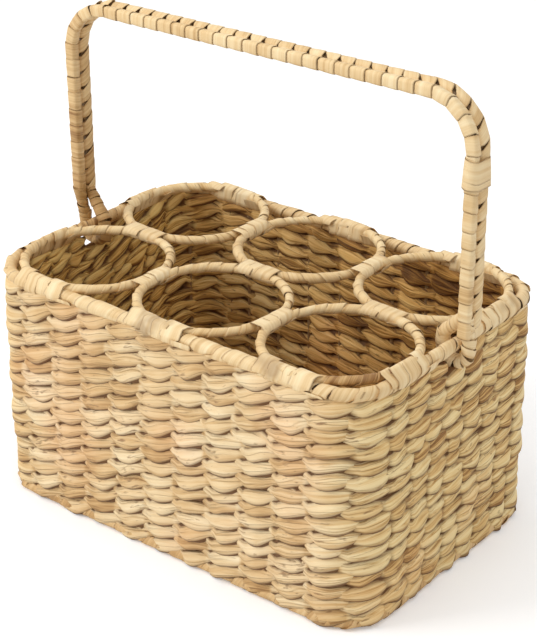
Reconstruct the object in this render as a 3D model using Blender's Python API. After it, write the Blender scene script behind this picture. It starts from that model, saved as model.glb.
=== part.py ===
import math

import bmesh
import bpy
from mathutils import Matrix, Vector

for old in list(bpy.data.objects):
    bpy.data.objects.remove(old, do_unlink=True)

# Driving dimensions, all in metres

ring_radius = 0.050
ring_rod_radius = 0.0018
ring_wrap_radius = 0.0040
ring_waist_radius = 0.0030
ring_spacing_long = 0.0042
ring_spacing_wide = 0.0040
ring_plane_height = 0.1733

rim_past_rings_long = 0.0023
rim_corner_radius = 0.030
rim_rod_radius = 0.0024
rim_wrap_radius = 0.0055

bottom_wrap_radius = 0.0050
bottom_flat_depth = 0.0004
upright_radius = 0.0015
upright_clearance = 0.0005

wall_half_thickness = 0.0052
course_over_bottom = 0.0064
course_over_rim = 0.0034
course_relief = 0.0008
leaf_relief = 0.0020
leaf_slant = 0.0020
corner_stake_offset = 0.0135
wall_bulge = 0.0016
notch_half_width = 0.0210
notch_clearance = 0.0009
base_half_thickness = 0.0034
base_row_relief = 0.0008

joint_length = 0.0134
joint_strip_thickness = 0.0009

bar_over_rim = 0.1641
handle_bend_radius = 0.034
handle_rod_radius = 0.0020
handle_rod_half_gap = 0.0045
handle_strip_thickness = 0.0026
eye_wrap_radius = 0.0033
eye_top = 0.0260
eye_low_play = 0.0027
band_below_bend = 0.0118
band_length = 0.0195
band_thickness = 0.0011

fit_gap = 0.0003
step_length = 0.0002

bay_upright_count = 2
course_count = 16
long_leaf_count = 10
short_leaf_count = 8
leaf_ridge_share = 0.45
base_rows_per_ring = 10
base_rod_rows = (-6, -3, 0, 3, 6)
base_flat_share = 0.5

ring_segments = 20
tube_sides = 8
rod_sides = 6
bore_sides = 4
corner_segments = 5
crease_degrees = 40

# Derived sizes

ring_pitch_long = 2 * ring_radius + ring_spacing_long
ring_pitch_wide = 2 * ring_radius + ring_spacing_wide
ring_above_rim = ring_rod_radius + fit_gap + rim_rod_radius
rim_height = ring_plane_height - ring_above_rim
rim_half_length = ring_pitch_long + ring_radius + rim_past_rings_long
rim_half_width = ring_pitch_wide / 2 + ring_radius
rim_waist_radius = rim_wrap_radius - joint_strip_thickness - fit_gap
bottom_rod_height = bottom_wrap_radius - bottom_flat_depth
ring_bore_radius = ring_rod_radius + fit_gap
rim_bore_radius = rim_rod_radius + fit_gap
upright_bore_radius = (upright_radius + fit_gap) / math.cos(math.pi / bore_sides)
wall_low = bottom_rod_height + bottom_wrap_radius + fit_gap
wall_high = rim_height - rim_wrap_radius - fit_gap
course_pitch = (wall_high + course_over_rim - wall_low + course_over_bottom) / course_count
leg_offset = rim_half_length + rim_wrap_radius + fit_gap + eye_wrap_radius
eye_turn_radius = leg_offset - rim_half_length
notch_depth = eye_low_play + eye_turn_radius + eye_wrap_radius + notch_clearance
strap_half_thick = handle_rod_radius + fit_gap + handle_strip_thickness
strap_half_wide = handle_rod_half_gap + strap_half_thick

strip_tone = (0.72, 0.56, 0.36, 1.0)
weave_tone = (0.66, 0.50, 0.31, 1.0)
metal_tone = (0.18, 0.17, 0.16, 1.0)


def material(name, tone, rough, metal):
    made = bpy.data.materials.new(name)
    made.use_nodes = True
    shader = made.node_tree.nodes["Principled BSDF"]
    shader.inputs["Base Color"].default_value = tone
    shader.inputs["Roughness"].default_value = rough
    shader.inputs["Metallic"].default_value = metal
    made.diffuse_color = tone
    return made


def node(name, mesh, tone, rough, metal=0, place=(0, 0, 0), parent=None):
    mesh.materials.clear()
    mesh.materials.append(material(name + "_finish", tone, rough, metal))
    made = bpy.data.objects.new(name, mesh)
    made.location = place
    made.parent = parent
    bpy.context.scene.collection.objects.link(made)
    return made


def mesh_of(work, name):
    bmesh.ops.recalc_face_normals(work, faces=work.faces)
    mesh = bpy.data.meshes.new(name)
    work.to_mesh(mesh)
    work.free()
    return mesh


def lofted(name, loops, closed):
    """Skin over a row of equal loops; an open row gets an end cap on both ends."""
    work = bmesh.new()
    rows = [[work.verts.new(p) for p in loop] for loop in loops]
    pairs = list(zip(rows, rows[1:]))
    if closed:
        pairs.append((rows[-1], rows[0]))
    for first, second in pairs:
        count = len(first)
        for k in range(count):
            n = (k + 1) % count
            work.faces.new((first[k], first[n], second[n], second[k]))
    if not closed:
        work.faces.new(rows[0])
        work.faces.new(rows[-1][::-1])
    return mesh_of(work, name)


def spun_ring(name, radius, sides):
    """Round section spun about the ring's own axis."""
    work = bmesh.new()
    section = bmesh.ops.create_circle(work, segments=sides, radius=radius)["verts"]
    bmesh.ops.rotate(work, verts=section, cent=(0, 0, 0), matrix=Matrix.Rotation(math.pi / 2, 3, "X"))
    bmesh.ops.translate(work, verts=section, vec=(ring_radius, 0, 0))
    bmesh.ops.spin(work, geom=work.edges[:], cent=(0, 0, 0), axis=(0, 0, 1), angle=2 * math.pi,
                   steps=ring_segments, use_merge=True)
    return mesh_of(work, name)


def circle_loop(centre, side, up, radius, sides):
    turn = 2 * math.pi / sides
    return [
        centre + side * radius * math.cos((k + 0.5) * turn) + up * radius * math.sin((k + 0.5) * turn)
        for k in range(sides)
    ]


def cut(target, cutters):
    """Takes the cutters out of the target, one after another, and removes them."""
    for cutter in cutters:
        cutter.hide_render = True
        cutter.display_type = "WIRE"
        tool = target.modifiers.new("cut", "BOOLEAN")
        tool.operation = "DIFFERENCE"
        tool.solver = "EXACT"
        tool.object = cutter
        settle(target)
        bpy.data.objects.remove(cutter, do_unlink=True)
    return target


def join(target, others):
    for other in others:
        tool = target.modifiers.new("join", "BOOLEAN")
        tool.operation = "UNION"
        tool.solver = "EXACT"
        tool.object = other
        settle(target)
        bpy.data.objects.remove(other, do_unlink=True)
    return target


def settle(target):
    bpy.context.view_layer.update()
    graph = bpy.context.evaluated_depsgraph_get()
    mesh = bpy.data.meshes.new_from_object(target.evaluated_get(graph))
    mesh.name = target.name
    target.modifiers.clear()
    target.data = mesh


def helper(name, mesh, place=(0, 0, 0)):
    made = bpy.data.objects.new(name, mesh)
    made.location = place
    bpy.context.scene.collection.objects.link(made)
    return made


def box(name, low, high):
    work = bmesh.new()
    bmesh.ops.create_cube(work, size=1)
    middle = (Vector(low) + Vector(high)) / 2
    span = Vector(high) - Vector(low)
    for v in work.verts:
        v.co = Vector((v.co.x * span.x, v.co.y * span.y, v.co.z * span.z)) + middle
    return helper(name, mesh_of(work, name))


def post(centre_x, centre_y, low, high, radius, sides):
    loops = [
        circle_loop(Vector((centre_x, centre_y, z)), Vector((1, 0, 0)), Vector((0, 1, 0)), radius, sides)
        for z in (low, high)
    ]
    return lofted("post", loops, False)


def merged(name, meshes):
    work = bmesh.new()
    for mesh in meshes:
        work.from_mesh(mesh)
    return helper(name, mesh_of(work, name))


up = Vector((0, 0, 1))


# Rounded rectangle followed by the rim, the bottom rod and the walls


def outline_point(distance):
    """Point and outward direction at a distance along the rod line, measured from the middle of the right side."""
    radius = rim_corner_radius
    flat_x = rim_half_length - radius
    flat_y = rim_half_width - radius
    arc = radius * math.pi / 2
    parts = (flat_y, arc, 2 * flat_x, arc, 2 * flat_y, arc, 2 * flat_x, arc, flat_y)
    total = sum(parts)
    distance = distance % total
    number = 0
    while distance > parts[number] and number < len(parts) - 1:
        distance -= parts[number]
        number += 1
    heading = (number // 2) * math.pi / 2
    if number % 2:
        corner = number // 2
        sign_x = (1, -1, -1, 1)[corner]
        sign_y = (1, 1, -1, -1)[corner]
        angle = heading + distance / radius
        out = Vector((math.cos(angle), math.sin(angle), 0))
        centre = Vector((sign_x * flat_x, sign_y * flat_y, 0))
        return centre + out * radius, out
    out = Vector((math.cos(heading), math.sin(heading), 0))
    along = Vector((-out.y, out.x, 0))
    starts = (0, 0, -flat_x, 0, -flat_y, 0, -flat_x, 0, -flat_y)
    reach = (rim_half_length, rim_half_width)[(number // 2) % 2]
    return out * reach + along * (starts[number] + distance), out


flat_long = rim_half_length - rim_corner_radius
flat_wide = rim_half_width - rim_corner_radius
arc_length = rim_corner_radius * math.pi / 2
outline_length = 4 * (flat_long + flat_wide + arc_length)


def corner_marks():
    """Distances of the points that round off the four corners."""
    marks = []
    start = flat_wide
    for k in range(4):
        marks += [start + arc_length * n / corner_segments for n in range(corner_segments + 1)]
        start += arc_length + 2 * (flat_long, flat_wide)[k % 2]
    return marks


def outline_loops(height, radii_at, sides):
    """Tube sections along the rod line; radii_at gives pairs of distance and radius."""
    loops = []
    for distance, radius in radii_at:
        point, out = outline_point(distance)
        point.z = height
        loops.append(circle_loop(point, out, up, radius, sides))
    return loops


# Bottle rings

ring_places = {}
for column, word_x in enumerate(("left", "middle", "right")):
    for row, word_y in enumerate(("front", "back")):
        x = (column - 1) * ring_pitch_long
        y = (row - 1 / 2) * ring_pitch_wide
        ring_places[word_x + "_" + word_y] = Vector((x, y, ring_plane_height))

joint_half_angle = math.asin((joint_length / 2 + fit_gap) / (ring_radius - ring_wrap_radius))
step_angle = step_length / ring_radius


def ring_radii():
    """Angles and section radii of a ring wrap, thinner where a joint wrap lies round it on its four sides."""
    turn = 2 * math.pi / ring_segments
    stations = {k * turn: ring_wrap_radius for k in range(ring_segments)}
    for joint in (0, math.pi / 2, math.pi, 3 * math.pi / 2):
        for sign in (-1, 1):
            stations[(joint + sign * joint_half_angle) % (2 * math.pi)] = ring_waist_radius
            stations[(joint + sign * (joint_half_angle + step_angle)) % (2 * math.pi)] = ring_wrap_radius
        stations[joint % (2 * math.pi)] = ring_waist_radius
    return sorted(stations.items())


def ring_loops(stations, sides):
    loops = []
    for angle, radius in stations:
        out = Vector((math.cos(angle), math.sin(angle), 0))
        loops.append(circle_loop(out * ring_radius, out, up, radius, sides))
    return loops


for name, centre in ring_places.items():
    node("ring_rod_" + name, spun_ring("rod", ring_rod_radius, rod_sides), metal_tone, 0.5, 1, centre)

# Wrapped rim

long_joint_y = ring_pitch_wide / 2
rim_joint_marks = []
for sign in (1, -1):
    rim_joint_marks.append((sign * long_joint_y) % outline_length)
    rim_joint_marks.append((sign * long_joint_y + outline_length / 2) % outline_length)
back_middle = flat_wide + arc_length + flat_long
for centre_x in (-ring_pitch_long, 0, ring_pitch_long):
    rim_joint_marks.append(back_middle - centre_x)
    rim_joint_marks.append(back_middle + outline_length / 2 + centre_x)

rim_stations = {mark: rim_wrap_radius for mark in corner_marks()}
for mark in rim_joint_marks:
    for sign in (-1, 1):
        rim_stations[mark + sign * (joint_length / 2 + fit_gap)] = rim_waist_radius
        rim_stations[mark + sign * (joint_length / 2 + fit_gap + step_length)] = rim_wrap_radius
rim_stations = sorted(rim_stations.items())

# Uprights stand at the corners, on both sides of every joint with a ring, between those, and beside the notches

beside_joint = joint_length / 2 + upright_clearance + upright_radius
bay_start = beside_joint
bay_span = ring_pitch_long - 2 * beside_joint
long_uprights = [ring_pitch_long + beside_joint]
long_uprights += [bay_start + bay_span * n / (bay_upright_count + 1) for n in range(bay_upright_count + 2)]
short_uprights = [
    notch_half_width + upright_radius,
    ring_pitch_wide / 2 - beside_joint,
    ring_pitch_wide / 2 + beside_joint,
]
side_turn = flat_wide + arc_length + flat_long
upright_marks = []
for half_turn in (0, outline_length / 2):
    for sign in (-1, 1):
        upright_marks.append(half_turn + sign * (flat_wide + arc_length / 2))
        upright_marks += [half_turn + sign * place for place in short_uprights]
        upright_marks += [half_turn + side_turn + sign * place for place in long_uprights]
upright_points = [outline_point(mark)[0] for mark in upright_marks]


def upright_set(name, low, high, radius, sides):
    return merged(name, [post(p.x, p.y, low, high, radius, sides) for p in upright_points])


base_row_pitch = ring_pitch_wide / base_rows_per_ring
base_ends = [row * base_row_pitch for row in base_rod_rows]


def base_rod_set(name, reach, radius, sides):
    meshes = []
    for y in base_ends:
        ends = [Vector((sign * reach, y, bottom_rod_height)) for sign in (-1, 1)]
        loops = [circle_loop(end, Vector((0, 1, 0)), up, radius, sides) for end in ends]
        meshes.append(lofted("rod", loops, False))
    return merged(name, meshes)


rim_wrap = node("rim_wrap", lofted("rim", outline_loops(rim_height, rim_stations, tube_sides), True),
                strip_tone, 0.7)
rim_bore = helper("bore", lofted("bore", outline_loops(
    rim_height, [(m, rim_bore_radius) for m in corner_marks()], rod_sides), True))
ring_channels = [
    helper("channel", spun_ring("channel", ring_bore_radius, rod_sides), centre) for centre in ring_places.values()
]
cut(rim_wrap, [rim_bore, upright_set("posts", wall_high, rim_height, upright_bore_radius, bore_sides)] + ring_channels)

# Ring wraps, flat where two rings meet and hollowed where they cross the rim

for name, centre in ring_places.items():
    wrap = node("ring_wrap_" + name, lofted("wrap", ring_loops(ring_radii(), tube_sides), True),
                strip_tone, 0.7, 0, centre)
    bore = helper("bore", spun_ring("bore", ring_bore_radius, rod_sides), centre)
    rim_shape = helper("rim_shape", lofted("rim_shape", outline_loops(
        rim_height, [(m, rim_wrap_radius + fit_gap) for m in corner_marks()], tube_sides), True))
    reach = 2 * ring_radius
    cutters = [bore, rim_shape]
    for sign in (-1, 1):
        plane_x = sign * (ring_pitch_long - fit_gap) / 2
        if abs(centre.x + sign * ring_pitch_long) < 2 * ring_pitch_long - fit_gap:
            low = (min(plane_x, sign * reach), -reach, -reach)
            high = (max(plane_x, sign * reach), reach, reach)
            cutters.append(box("face", centre + Vector(low), centre + Vector(high)))
        plane_y = sign * (ring_pitch_wide - fit_gap) / 2
        if centre.y * sign < 0:
            low = (-reach, min(plane_y, sign * reach), -reach)
            high = (reach, max(plane_y, sign * reach), reach)
            cutters.append(box("face", centre + Vector(low), centre + Vector(high)))
    cut(wrap, cutters)

# Bottom rod wrap, flat underneath

bottom_wrap = node("bottom_wrap", lofted("bottom", outline_loops(
    bottom_rod_height, [(m, bottom_wrap_radius) for m in corner_marks()], tube_sides), True), strip_tone, 0.75)
bottom_bore = helper("bore", lofted("bore", outline_loops(
    bottom_rod_height, [(m, rim_bore_radius) for m in corner_marks()], rod_sides), True))
floor_box = box("floor", (-2 * rim_half_length, -2 * rim_half_width, -rim_height),
                (2 * rim_half_length, 2 * rim_half_width, 0))
cut(bottom_wrap, [
    bottom_bore,
    floor_box,
    upright_set("posts", bottom_rod_height, wall_low, upright_bore_radius, bore_sides),
    base_rod_set("rods", rim_half_length, upright_bore_radius, bore_sides),
])

# Welded wire frame

frame = node("wire_frame", lofted("frame", outline_loops(
    rim_height, [(m, rim_rod_radius) for m in corner_marks()], rod_sides), True), metal_tone, 0.5, 1)
low_rod = helper("low_rod", lofted("low", outline_loops(
    bottom_rod_height, [(m, rim_rod_radius) for m in corner_marks()], rod_sides), True))
join(frame, [
    upright_set("posts", bottom_rod_height, rim_height, upright_radius, rod_sides),
    low_rod,
    base_rod_set("rods", rim_half_length, upright_radius, rod_sides),
])

# Twined walls


def stake_marks():
    """Distances of the stakes that the leaves of a course pass round, ten or eight gaps to a side."""
    marks = []
    corner = flat_wide + arc_length / 2
    for k in range(4):
        side = 2 * (flat_long, flat_wide)[k % 2] + arc_length
        count = (long_leaf_count, short_leaf_count)[k % 2]
        span = side - 2 * corner_stake_offset
        marks += [corner + corner_stake_offset + span * n / count for n in range(count + 1)]
        corner += side
    return marks


def wall_point(distance, height, reach):
    """Point of a wall face; reach is measured outwards from the bellied middle of the wall."""
    point, out = outline_point(distance)
    share = (height - wall_low) / (wall_high - wall_low)
    point = point + out * (wall_bulge * math.sin(math.pi * share) + reach)
    point.z = height
    return point


def add_leaves(work, stakes, heights):
    """Outer face: every leaf is a low ridge that rises from left to right; returns the two edge rows."""
    count = len(stakes)
    ends = [(stakes[k - 1] - (outline_length if k == 0 else 0) + stakes[k]) / 2 for k in range(count)]
    valley = wall_half_thickness - leaf_relief
    rows = [[work.verts.new(wall_point(end, z, valley)) for end in ends] for z in heights]
    for low, high, z_low, z_high in zip(rows, rows[1:], heights, heights[1:]):
        middle = (z_low + z_high) / 2
        rise = leaf_slant * (z_high - z_low) / course_pitch / 2
        for k in range(count):
            n = (k + 1) % count
            last = ends[n] + (outline_length if n == 0 else 0)
            first_place = stakes[k] + (ends[k] - stakes[k]) * leaf_ridge_share
            second_place = stakes[k] + (last - stakes[k]) * leaf_ridge_share
            first = work.verts.new(wall_point(first_place, middle - rise, wall_half_thickness))
            second = work.verts.new(wall_point(second_place, middle + rise, wall_half_thickness))
            work.faces.new((low[k], low[n], second, first))
            work.faces.new((high[n], high[k], first, second))
            work.faces.new((high[k], low[k], first))
            work.faces.new((low[n], high[n], second))
    return ends, rows[0], rows[-1]


def add_inside(work, marks, heights):
    """Inner face: one plain swelling for each course; returns the two edge rows."""
    rows = []
    for z_low, z_high in zip(heights, heights[1:]):
        rows.append((z_low, course_relief - wall_half_thickness))
        rows.append(((z_low + z_high) / 2, -wall_half_thickness))
    rows.append((heights[-1], course_relief - wall_half_thickness))
    loops = [[work.verts.new(wall_point(mark, z, reach)) for mark in marks] for z, reach in rows]
    for low, high in zip(loops, loops[1:]):
        for k in range(len(marks)):
            n = (k + 1) % len(marks)
            work.faces.new((low[n], low[k], high[k], high[n]))
    return loops[0], loops[-1]


def add_edge(work, outer_marks, outer, inner_marks, inner):
    """Strip of triangles between two closed rows that have different numbers of points."""
    first, second = 0, 0
    while first < len(outer) or second < len(inner):
        outer_next = outer_marks[(first + 1) % len(outer)] + outline_length * ((first + 1) // len(outer))
        inner_next = inner_marks[(second + 1) % len(inner)] + outline_length * ((second + 1) // len(inner))
        here, there = outer[first % len(outer)], inner[second % len(inner)]
        if second == len(inner) or (first < len(outer) and outer_next <= inner_next):
            first += 1
            work.faces.new((here, outer[first % len(outer)], there))
        else:
            second += 1
            work.faces.new((here, inner[second % len(inner)], there))


course_heights = [wall_low]
course_heights += [wall_low - course_over_bottom + course_pitch * n for n in range(1, course_count)]
course_heights.append(wall_high)
inside_marks = []
corner_start = flat_wide
for k in range(4):
    inside_marks += [corner_start + arc_length * n / (corner_segments - 1) for n in range(corner_segments)]
    corner_start += arc_length + 2 * (flat_long, flat_wide)[k % 2]

wall_work = bmesh.new()
leaf_ends, outer_foot, outer_head = add_leaves(wall_work, stake_marks(), course_heights)
inner_foot, inner_head = add_inside(wall_work, inside_marks, course_heights)
add_edge(wall_work, leaf_ends, outer_foot, inside_marks, inner_foot)
add_edge(wall_work, leaf_ends, outer_head, inside_marks, inner_head)
bmesh.ops.triangulate(wall_work, faces=wall_work.faces)
wall = node("wall_weave", mesh_of(wall_work, "wall"), weave_tone, 0.8)
notches = [
    box("notch", (min(sign * rim_half_length / 2, sign * 2 * rim_half_length), -notch_half_width,
                  rim_height - notch_depth),
        (max(sign * rim_half_length / 2, sign * 2 * rim_half_length), notch_half_width, rim_height))
    for sign in (-1, 1)
]
cut(wall, [upright_set("posts", 0, rim_height, upright_bore_radius, bore_sides)] + notches)

# Woven base panel

base_inset = bottom_wrap_radius + fit_gap
base_edge = rim_half_width - base_inset
base_flat_half = base_flat_share * base_row_pitch / 2


def base_loop(y, half_thickness):
    """Upright cross-section of the panel; its length follows the rounded corners of the bottom rod."""
    past = max(abs(y) - flat_wide, 0)
    reach = flat_long + math.sqrt(max((rim_corner_radius - base_inset) ** 2 - past ** 2, 0))
    return [
        Vector((side * reach, y, bottom_rod_height + level * half_thickness))
        for side, level in ((-1, -1), (1, -1), (1, 1), (-1, 1))
    ]


# every row has a flat back and falls away to its neighbours; the rings stand over the middle of a row
base_marks = [(-base_edge, base_row_relief)]
half_row_count = math.floor((base_edge - base_flat_half) / base_row_pitch)
for k in range(-half_row_count, half_row_count + 1):
    row_middle = k * base_row_pitch
    base_marks += [(row_middle - base_flat_half, 0), (row_middle + base_flat_half, 0)]
    if k < half_row_count:
        base_marks.append((row_middle + base_row_pitch / 2, base_row_relief))
base_marks.append((base_edge, base_row_relief))
base_loops = [base_loop(y, base_half_thickness - fall) for y, fall in base_marks]
base = node("base_weave", lofted("base", base_loops, False), weave_tone, 0.8)
cut(base, [base_rod_set("rods", rim_half_length, upright_bore_radius, bore_sides)])

# Joint wraps


def hull_loop(centre, side, up_way, circles, extra, sides):
    """Loop round several circles given as side offset, height offset and radius."""
    loop = []
    for k in range(sides):
        angle = 2 * math.pi * (k + 0.5) / sides
        way = (math.cos(angle), math.sin(angle))
        best = max(circles, key=lambda c: c[0] * way[0] + c[1] * way[1] + c[2])
        reach = best[2] + extra
        loop.append(centre + side * (best[0] + way[0] * reach) + up_way * (best[1] + way[1] * reach))
    return loop


hull_sides = 12


def sleeve(name, centre, along, circles):
    side = along.cross(up)
    ends = (-along * joint_length / 2, along * joint_length / 2)
    facet = 1 / math.cos(math.pi / hull_sides)
    outer_extra = fit_gap + joint_strip_thickness
    grown = [(c[0], c[1], c[2] * facet) for c in circles]
    outer = [hull_loop(end, side, up, grown, outer_extra, hull_sides) for end in ends]
    inner = [hull_loop(end, side, up, grown, fit_gap, hull_sides) for end in ends]
    return node(name, lofted(name, outer + inner[::-1], True), strip_tone, 0.7, 0, centre)


sag = ring_radius * (1 - math.cos(joint_half_angle))
for row_word, row_sign in (("front", -1), ("back", 1)):
    for k, pair in ((-1, "left_middle"), (1, "middle_right")):
        centre = Vector((k * ring_pitch_long / 2, row_sign * ring_pitch_wide / 2, ring_plane_height))
        offset = ring_spacing_long / 2
        circles = [(sign * (offset + grow), 0, ring_waist_radius) for sign in (-1, 1) for grow in (0, sag)]
        sleeve("ring_lashing_" + pair + "_" + row_word, centre, Vector((0, 1, 0)), circles)
for k, word in ((-1, "left"), (0, "middle"), (1, "right")):
    centre = Vector((k * ring_pitch_long, 0, ring_plane_height))
    offset = ring_spacing_wide / 2
    circles = [(sign * (offset + grow), 0, ring_waist_radius) for sign in (-1, 1) for grow in (0, sag)]
    sleeve("ring_lashing_" + word + "_front_back", centre, Vector((1, 0, 0)), circles)

for sign, word in ((-1, "left"), (1, "right")):
    for row_word, row_sign in (("front", -1), ("back", 1)):
        centre = Vector((sign * rim_half_length, row_sign * ring_pitch_wide / 2, rim_height))
        along = Vector((0, 1, 0))
        side = along.cross(up)
        shift = (ring_pitch_long + ring_radius - rim_half_length) * sign * side.x
        inward = -sign * side.x
        circles = [(0, 0, rim_waist_radius)]
        circles += [(shift + inward * grow, ring_above_rim, ring_waist_radius) for grow in (0, sag)]
        sleeve("rim_lashing_" + word + "_side_" + row_word, centre, along, circles)
for row_word, row_sign in (("front", -1), ("back", 1)):
    for k, word in ((-1, "left"), (0, "middle"), (1, "right")):
        centre = Vector((k * ring_pitch_long, row_sign * rim_half_width, rim_height))
        along = Vector((1, 0, 0))
        side = along.cross(up)
        shift = (ring_pitch_wide / 2 + ring_radius - rim_half_width) * row_sign * side.y
        inward = -row_sign * side.y
        circles = [(0, 0, rim_waist_radius)]
        circles += [(shift + inward * grow, ring_above_rim, ring_waist_radius) for grow in (0, sag)]
        sleeve("rim_lashing_" + row_word + "_" + word, centre, along, circles)

# Handle, one closed wire bent into an eye at both ends, hung from an empty on the line it swings about

handle_axis = bpy.data.objects.new("handle_axis", None)
handle_axis.location = (0, 0, rim_height)
bpy.context.scene.collection.objects.link(handle_axis)
bend_steps = 6
eye_steps = 8
strap_low = eye_top + fit_gap


def handle_half_path(side_y):
    """Wire line from the right leg over the bar to the left leg at one side of the strap."""
    points = [Vector((leg_offset, side_y, eye_top))]
    centre = Vector((leg_offset - handle_bend_radius, side_y, bar_over_rim - handle_bend_radius))
    arc = []
    for n in range(bend_steps + 1):
        angle = math.pi / 2 * n / bend_steps
        way = Vector((math.cos(angle), 0, math.sin(angle)))
        arc.append(centre + way * handle_bend_radius)
    points += arc
    mirrored = [Vector((-p.x, p.y, p.z)) for p in points]
    return points + mirrored[::-1]


def eye_path(sign):
    """Wire line of one eye from the front rod, outside and under the rim, up inside to the back rod."""
    points = []
    low = -eye_low_play
    top = eye_top
    tuck = eye_wrap_radius
    gap = handle_rod_half_gap
    inner = rim_half_length - eye_turn_radius
    points.append(Vector((leg_offset, -gap, top)))
    points.append(Vector((leg_offset, -gap, top - tuck / 2)))
    points.append(Vector((leg_offset, 0, tuck)))
    points.append(Vector((leg_offset, 0, low)))
    for n in range(1, eye_steps):
        angle = math.pi * n / eye_steps
        way = Vector((math.cos(angle), 0, -math.sin(angle)))
        points.append(Vector((rim_half_length, 0, low)) + way * eye_turn_radius)
    points.append(Vector((inner, 0, low)))
    points.append(Vector((inner, 0, 2 * eye_low_play)))
    points.append(Vector((leg_offset, gap, top - tuck / 2)))
    points.append(Vector((leg_offset, gap, top)))
    return [Vector((sign * p.x, p.y, p.z)) for p in points]


def swept(points, radius, sides, closed):
    """Round section carried along a line in space, its side direction kept level."""
    loops = []
    count = len(points)
    for k, point in enumerate(points):
        if closed:
            before, after = points[k - 1], points[(k + 1) % count]
        else:
            before, after = points[max(k - 1, 0)], points[min(k + 1, count - 1)]
        first = (point - before).normalized() if before != point else (after - point).normalized()
        second = (after - point).normalized() if after != point else first
        way = (first + second).normalized()
        level = Vector((0, 1, 0))
        level = (level - way * level.dot(way)).normalized()
        other = way.cross(level)
        stretch = 1 / max(math.cos(first.angle(second) / 2), 1 / 2)
        loop = []
        for n in range(sides):
            angle = 2 * math.pi * (n + 0.5) / sides
            loop.append(point + level * radius * math.cos(angle) + other * radius * stretch * math.sin(angle))
        loops.append(loop)
    return loops


front_line = handle_half_path(-handle_rod_half_gap)
back_line = handle_half_path(handle_rod_half_gap)
right_eye = eye_path(1)
left_eye = eye_path(-1)
wire = front_line + left_eye[1:-1] + back_line[::-1] + right_eye[1:-1][::-1]
handle_rod = node("handle_rod", lofted("rod", swept(wire, handle_rod_radius, rod_sides, True), True),
                  metal_tone, 0.5, 1, parent=handle_axis)

around_wire = swept(wire, eye_wrap_radius, tube_sides, True)
around_rod = swept(wire, handle_rod_radius + fit_gap, tube_sides, True)
left_start = len(front_line) - 1
right_start = left_start + len(left_eye) + len(back_line) - 2
for word, start in (("left", left_start), ("right", right_start)):
    places = [(start + k) % len(wire) for k in range(len(left_eye))]
    outer = [around_wire[k] for k in places]
    inner = [around_rod[k] for k in places]
    node("eye_wrap_" + word, lofted("eye", outer + inner[::-1], True), strip_tone, 0.7, parent=handle_axis)


def strap_loop(point, out, half_wide, half_thick):
    """Flat-sided section round both rods, rounded at its two edges."""
    circles = [(sign * (half_wide - half_thick), 0, half_thick) for sign in (-1, 1)]
    return hull_loop(point, Vector((0, 1, 0)), out, circles, 0, hull_sides)


def strap_stations(lift):
    """Middle line of the strap and its outward direction, from the right leg to the left leg."""
    stations = [(Vector((leg_offset, 0, lift)), Vector((1, 0, 0)))]
    centre = Vector((leg_offset - handle_bend_radius, 0, bar_over_rim - handle_bend_radius))
    for n in range(bend_steps + 1):
        angle = math.pi / 2 * n / bend_steps
        way = Vector((math.cos(angle), 0, math.sin(angle)))
        stations.append((centre + way * handle_bend_radius, way))
    return stations + [(Vector((-p.x, 0, p.z)), Vector((-w.x, 0, w.z))) for p, w in stations[::-1]]


def strap_pair(stations, inner_wide, inner_thick):
    """Hollow strap; each station gives its point, its outward direction and its two outer half sizes."""
    outer = [strap_loop(p, w, wide, thick) for p, w, wide, thick in stations]
    inner = [strap_loop(p, w, inner_wide, inner_thick) for p, w, wide, thick in stations]
    return outer + inner[::-1]


facet = 1 / math.cos(math.pi / hull_sides)
rod_room = (handle_rod_radius + fit_gap) * facet
leg_way = Vector((1, 0, 0))
band_height = bar_over_rim - handle_bend_radius - band_below_bend
band_low = band_height - band_length / 2
band_high = band_height + band_length / 2
under_band = band_thickness + fit_gap
full = (strap_half_wide, strap_half_thick)
thin = (strap_half_wide - under_band, strap_half_thick - under_band)
stations = [(p, w) + full for p, w in strap_stations(strap_low)]
thinned = []
for height, sizes in (
    (band_low - fit_gap - step_length, full),
    (band_low - fit_gap, thin),
    (band_high + fit_gap, thin),
    (band_high + fit_gap + step_length, full),
):
    thinned.append((Vector((leg_offset, 0, height)), leg_way) + sizes)
node("handle_wrap", lofted("strap", strap_pair(
    stations[:1] + thinned + stations[1:], handle_rod_half_gap + rod_room, rod_room), True), strip_tone, 0.7, parent=handle_axis)

band_ends = [
    (Vector((leg_offset, 0, height)), leg_way) + full for height in (band_low, band_high)
]
node("handle_band", lofted("band", strap_pair(
    band_ends, strap_half_wide - band_thickness, strap_half_thick - band_thickness), True), strip_tone, 0.7, parent=handle_axis)

# Smooth shading with crisp edges

for made in bpy.context.scene.objects:
    if made.type == "MESH":
        made.data.shade_smooth()
        made.data.set_sharp_from_angle(angle=math.radians(crease_degrees))
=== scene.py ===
import math

import bmesh
import bpy
from mathutils import Matrix, Vector


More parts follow.
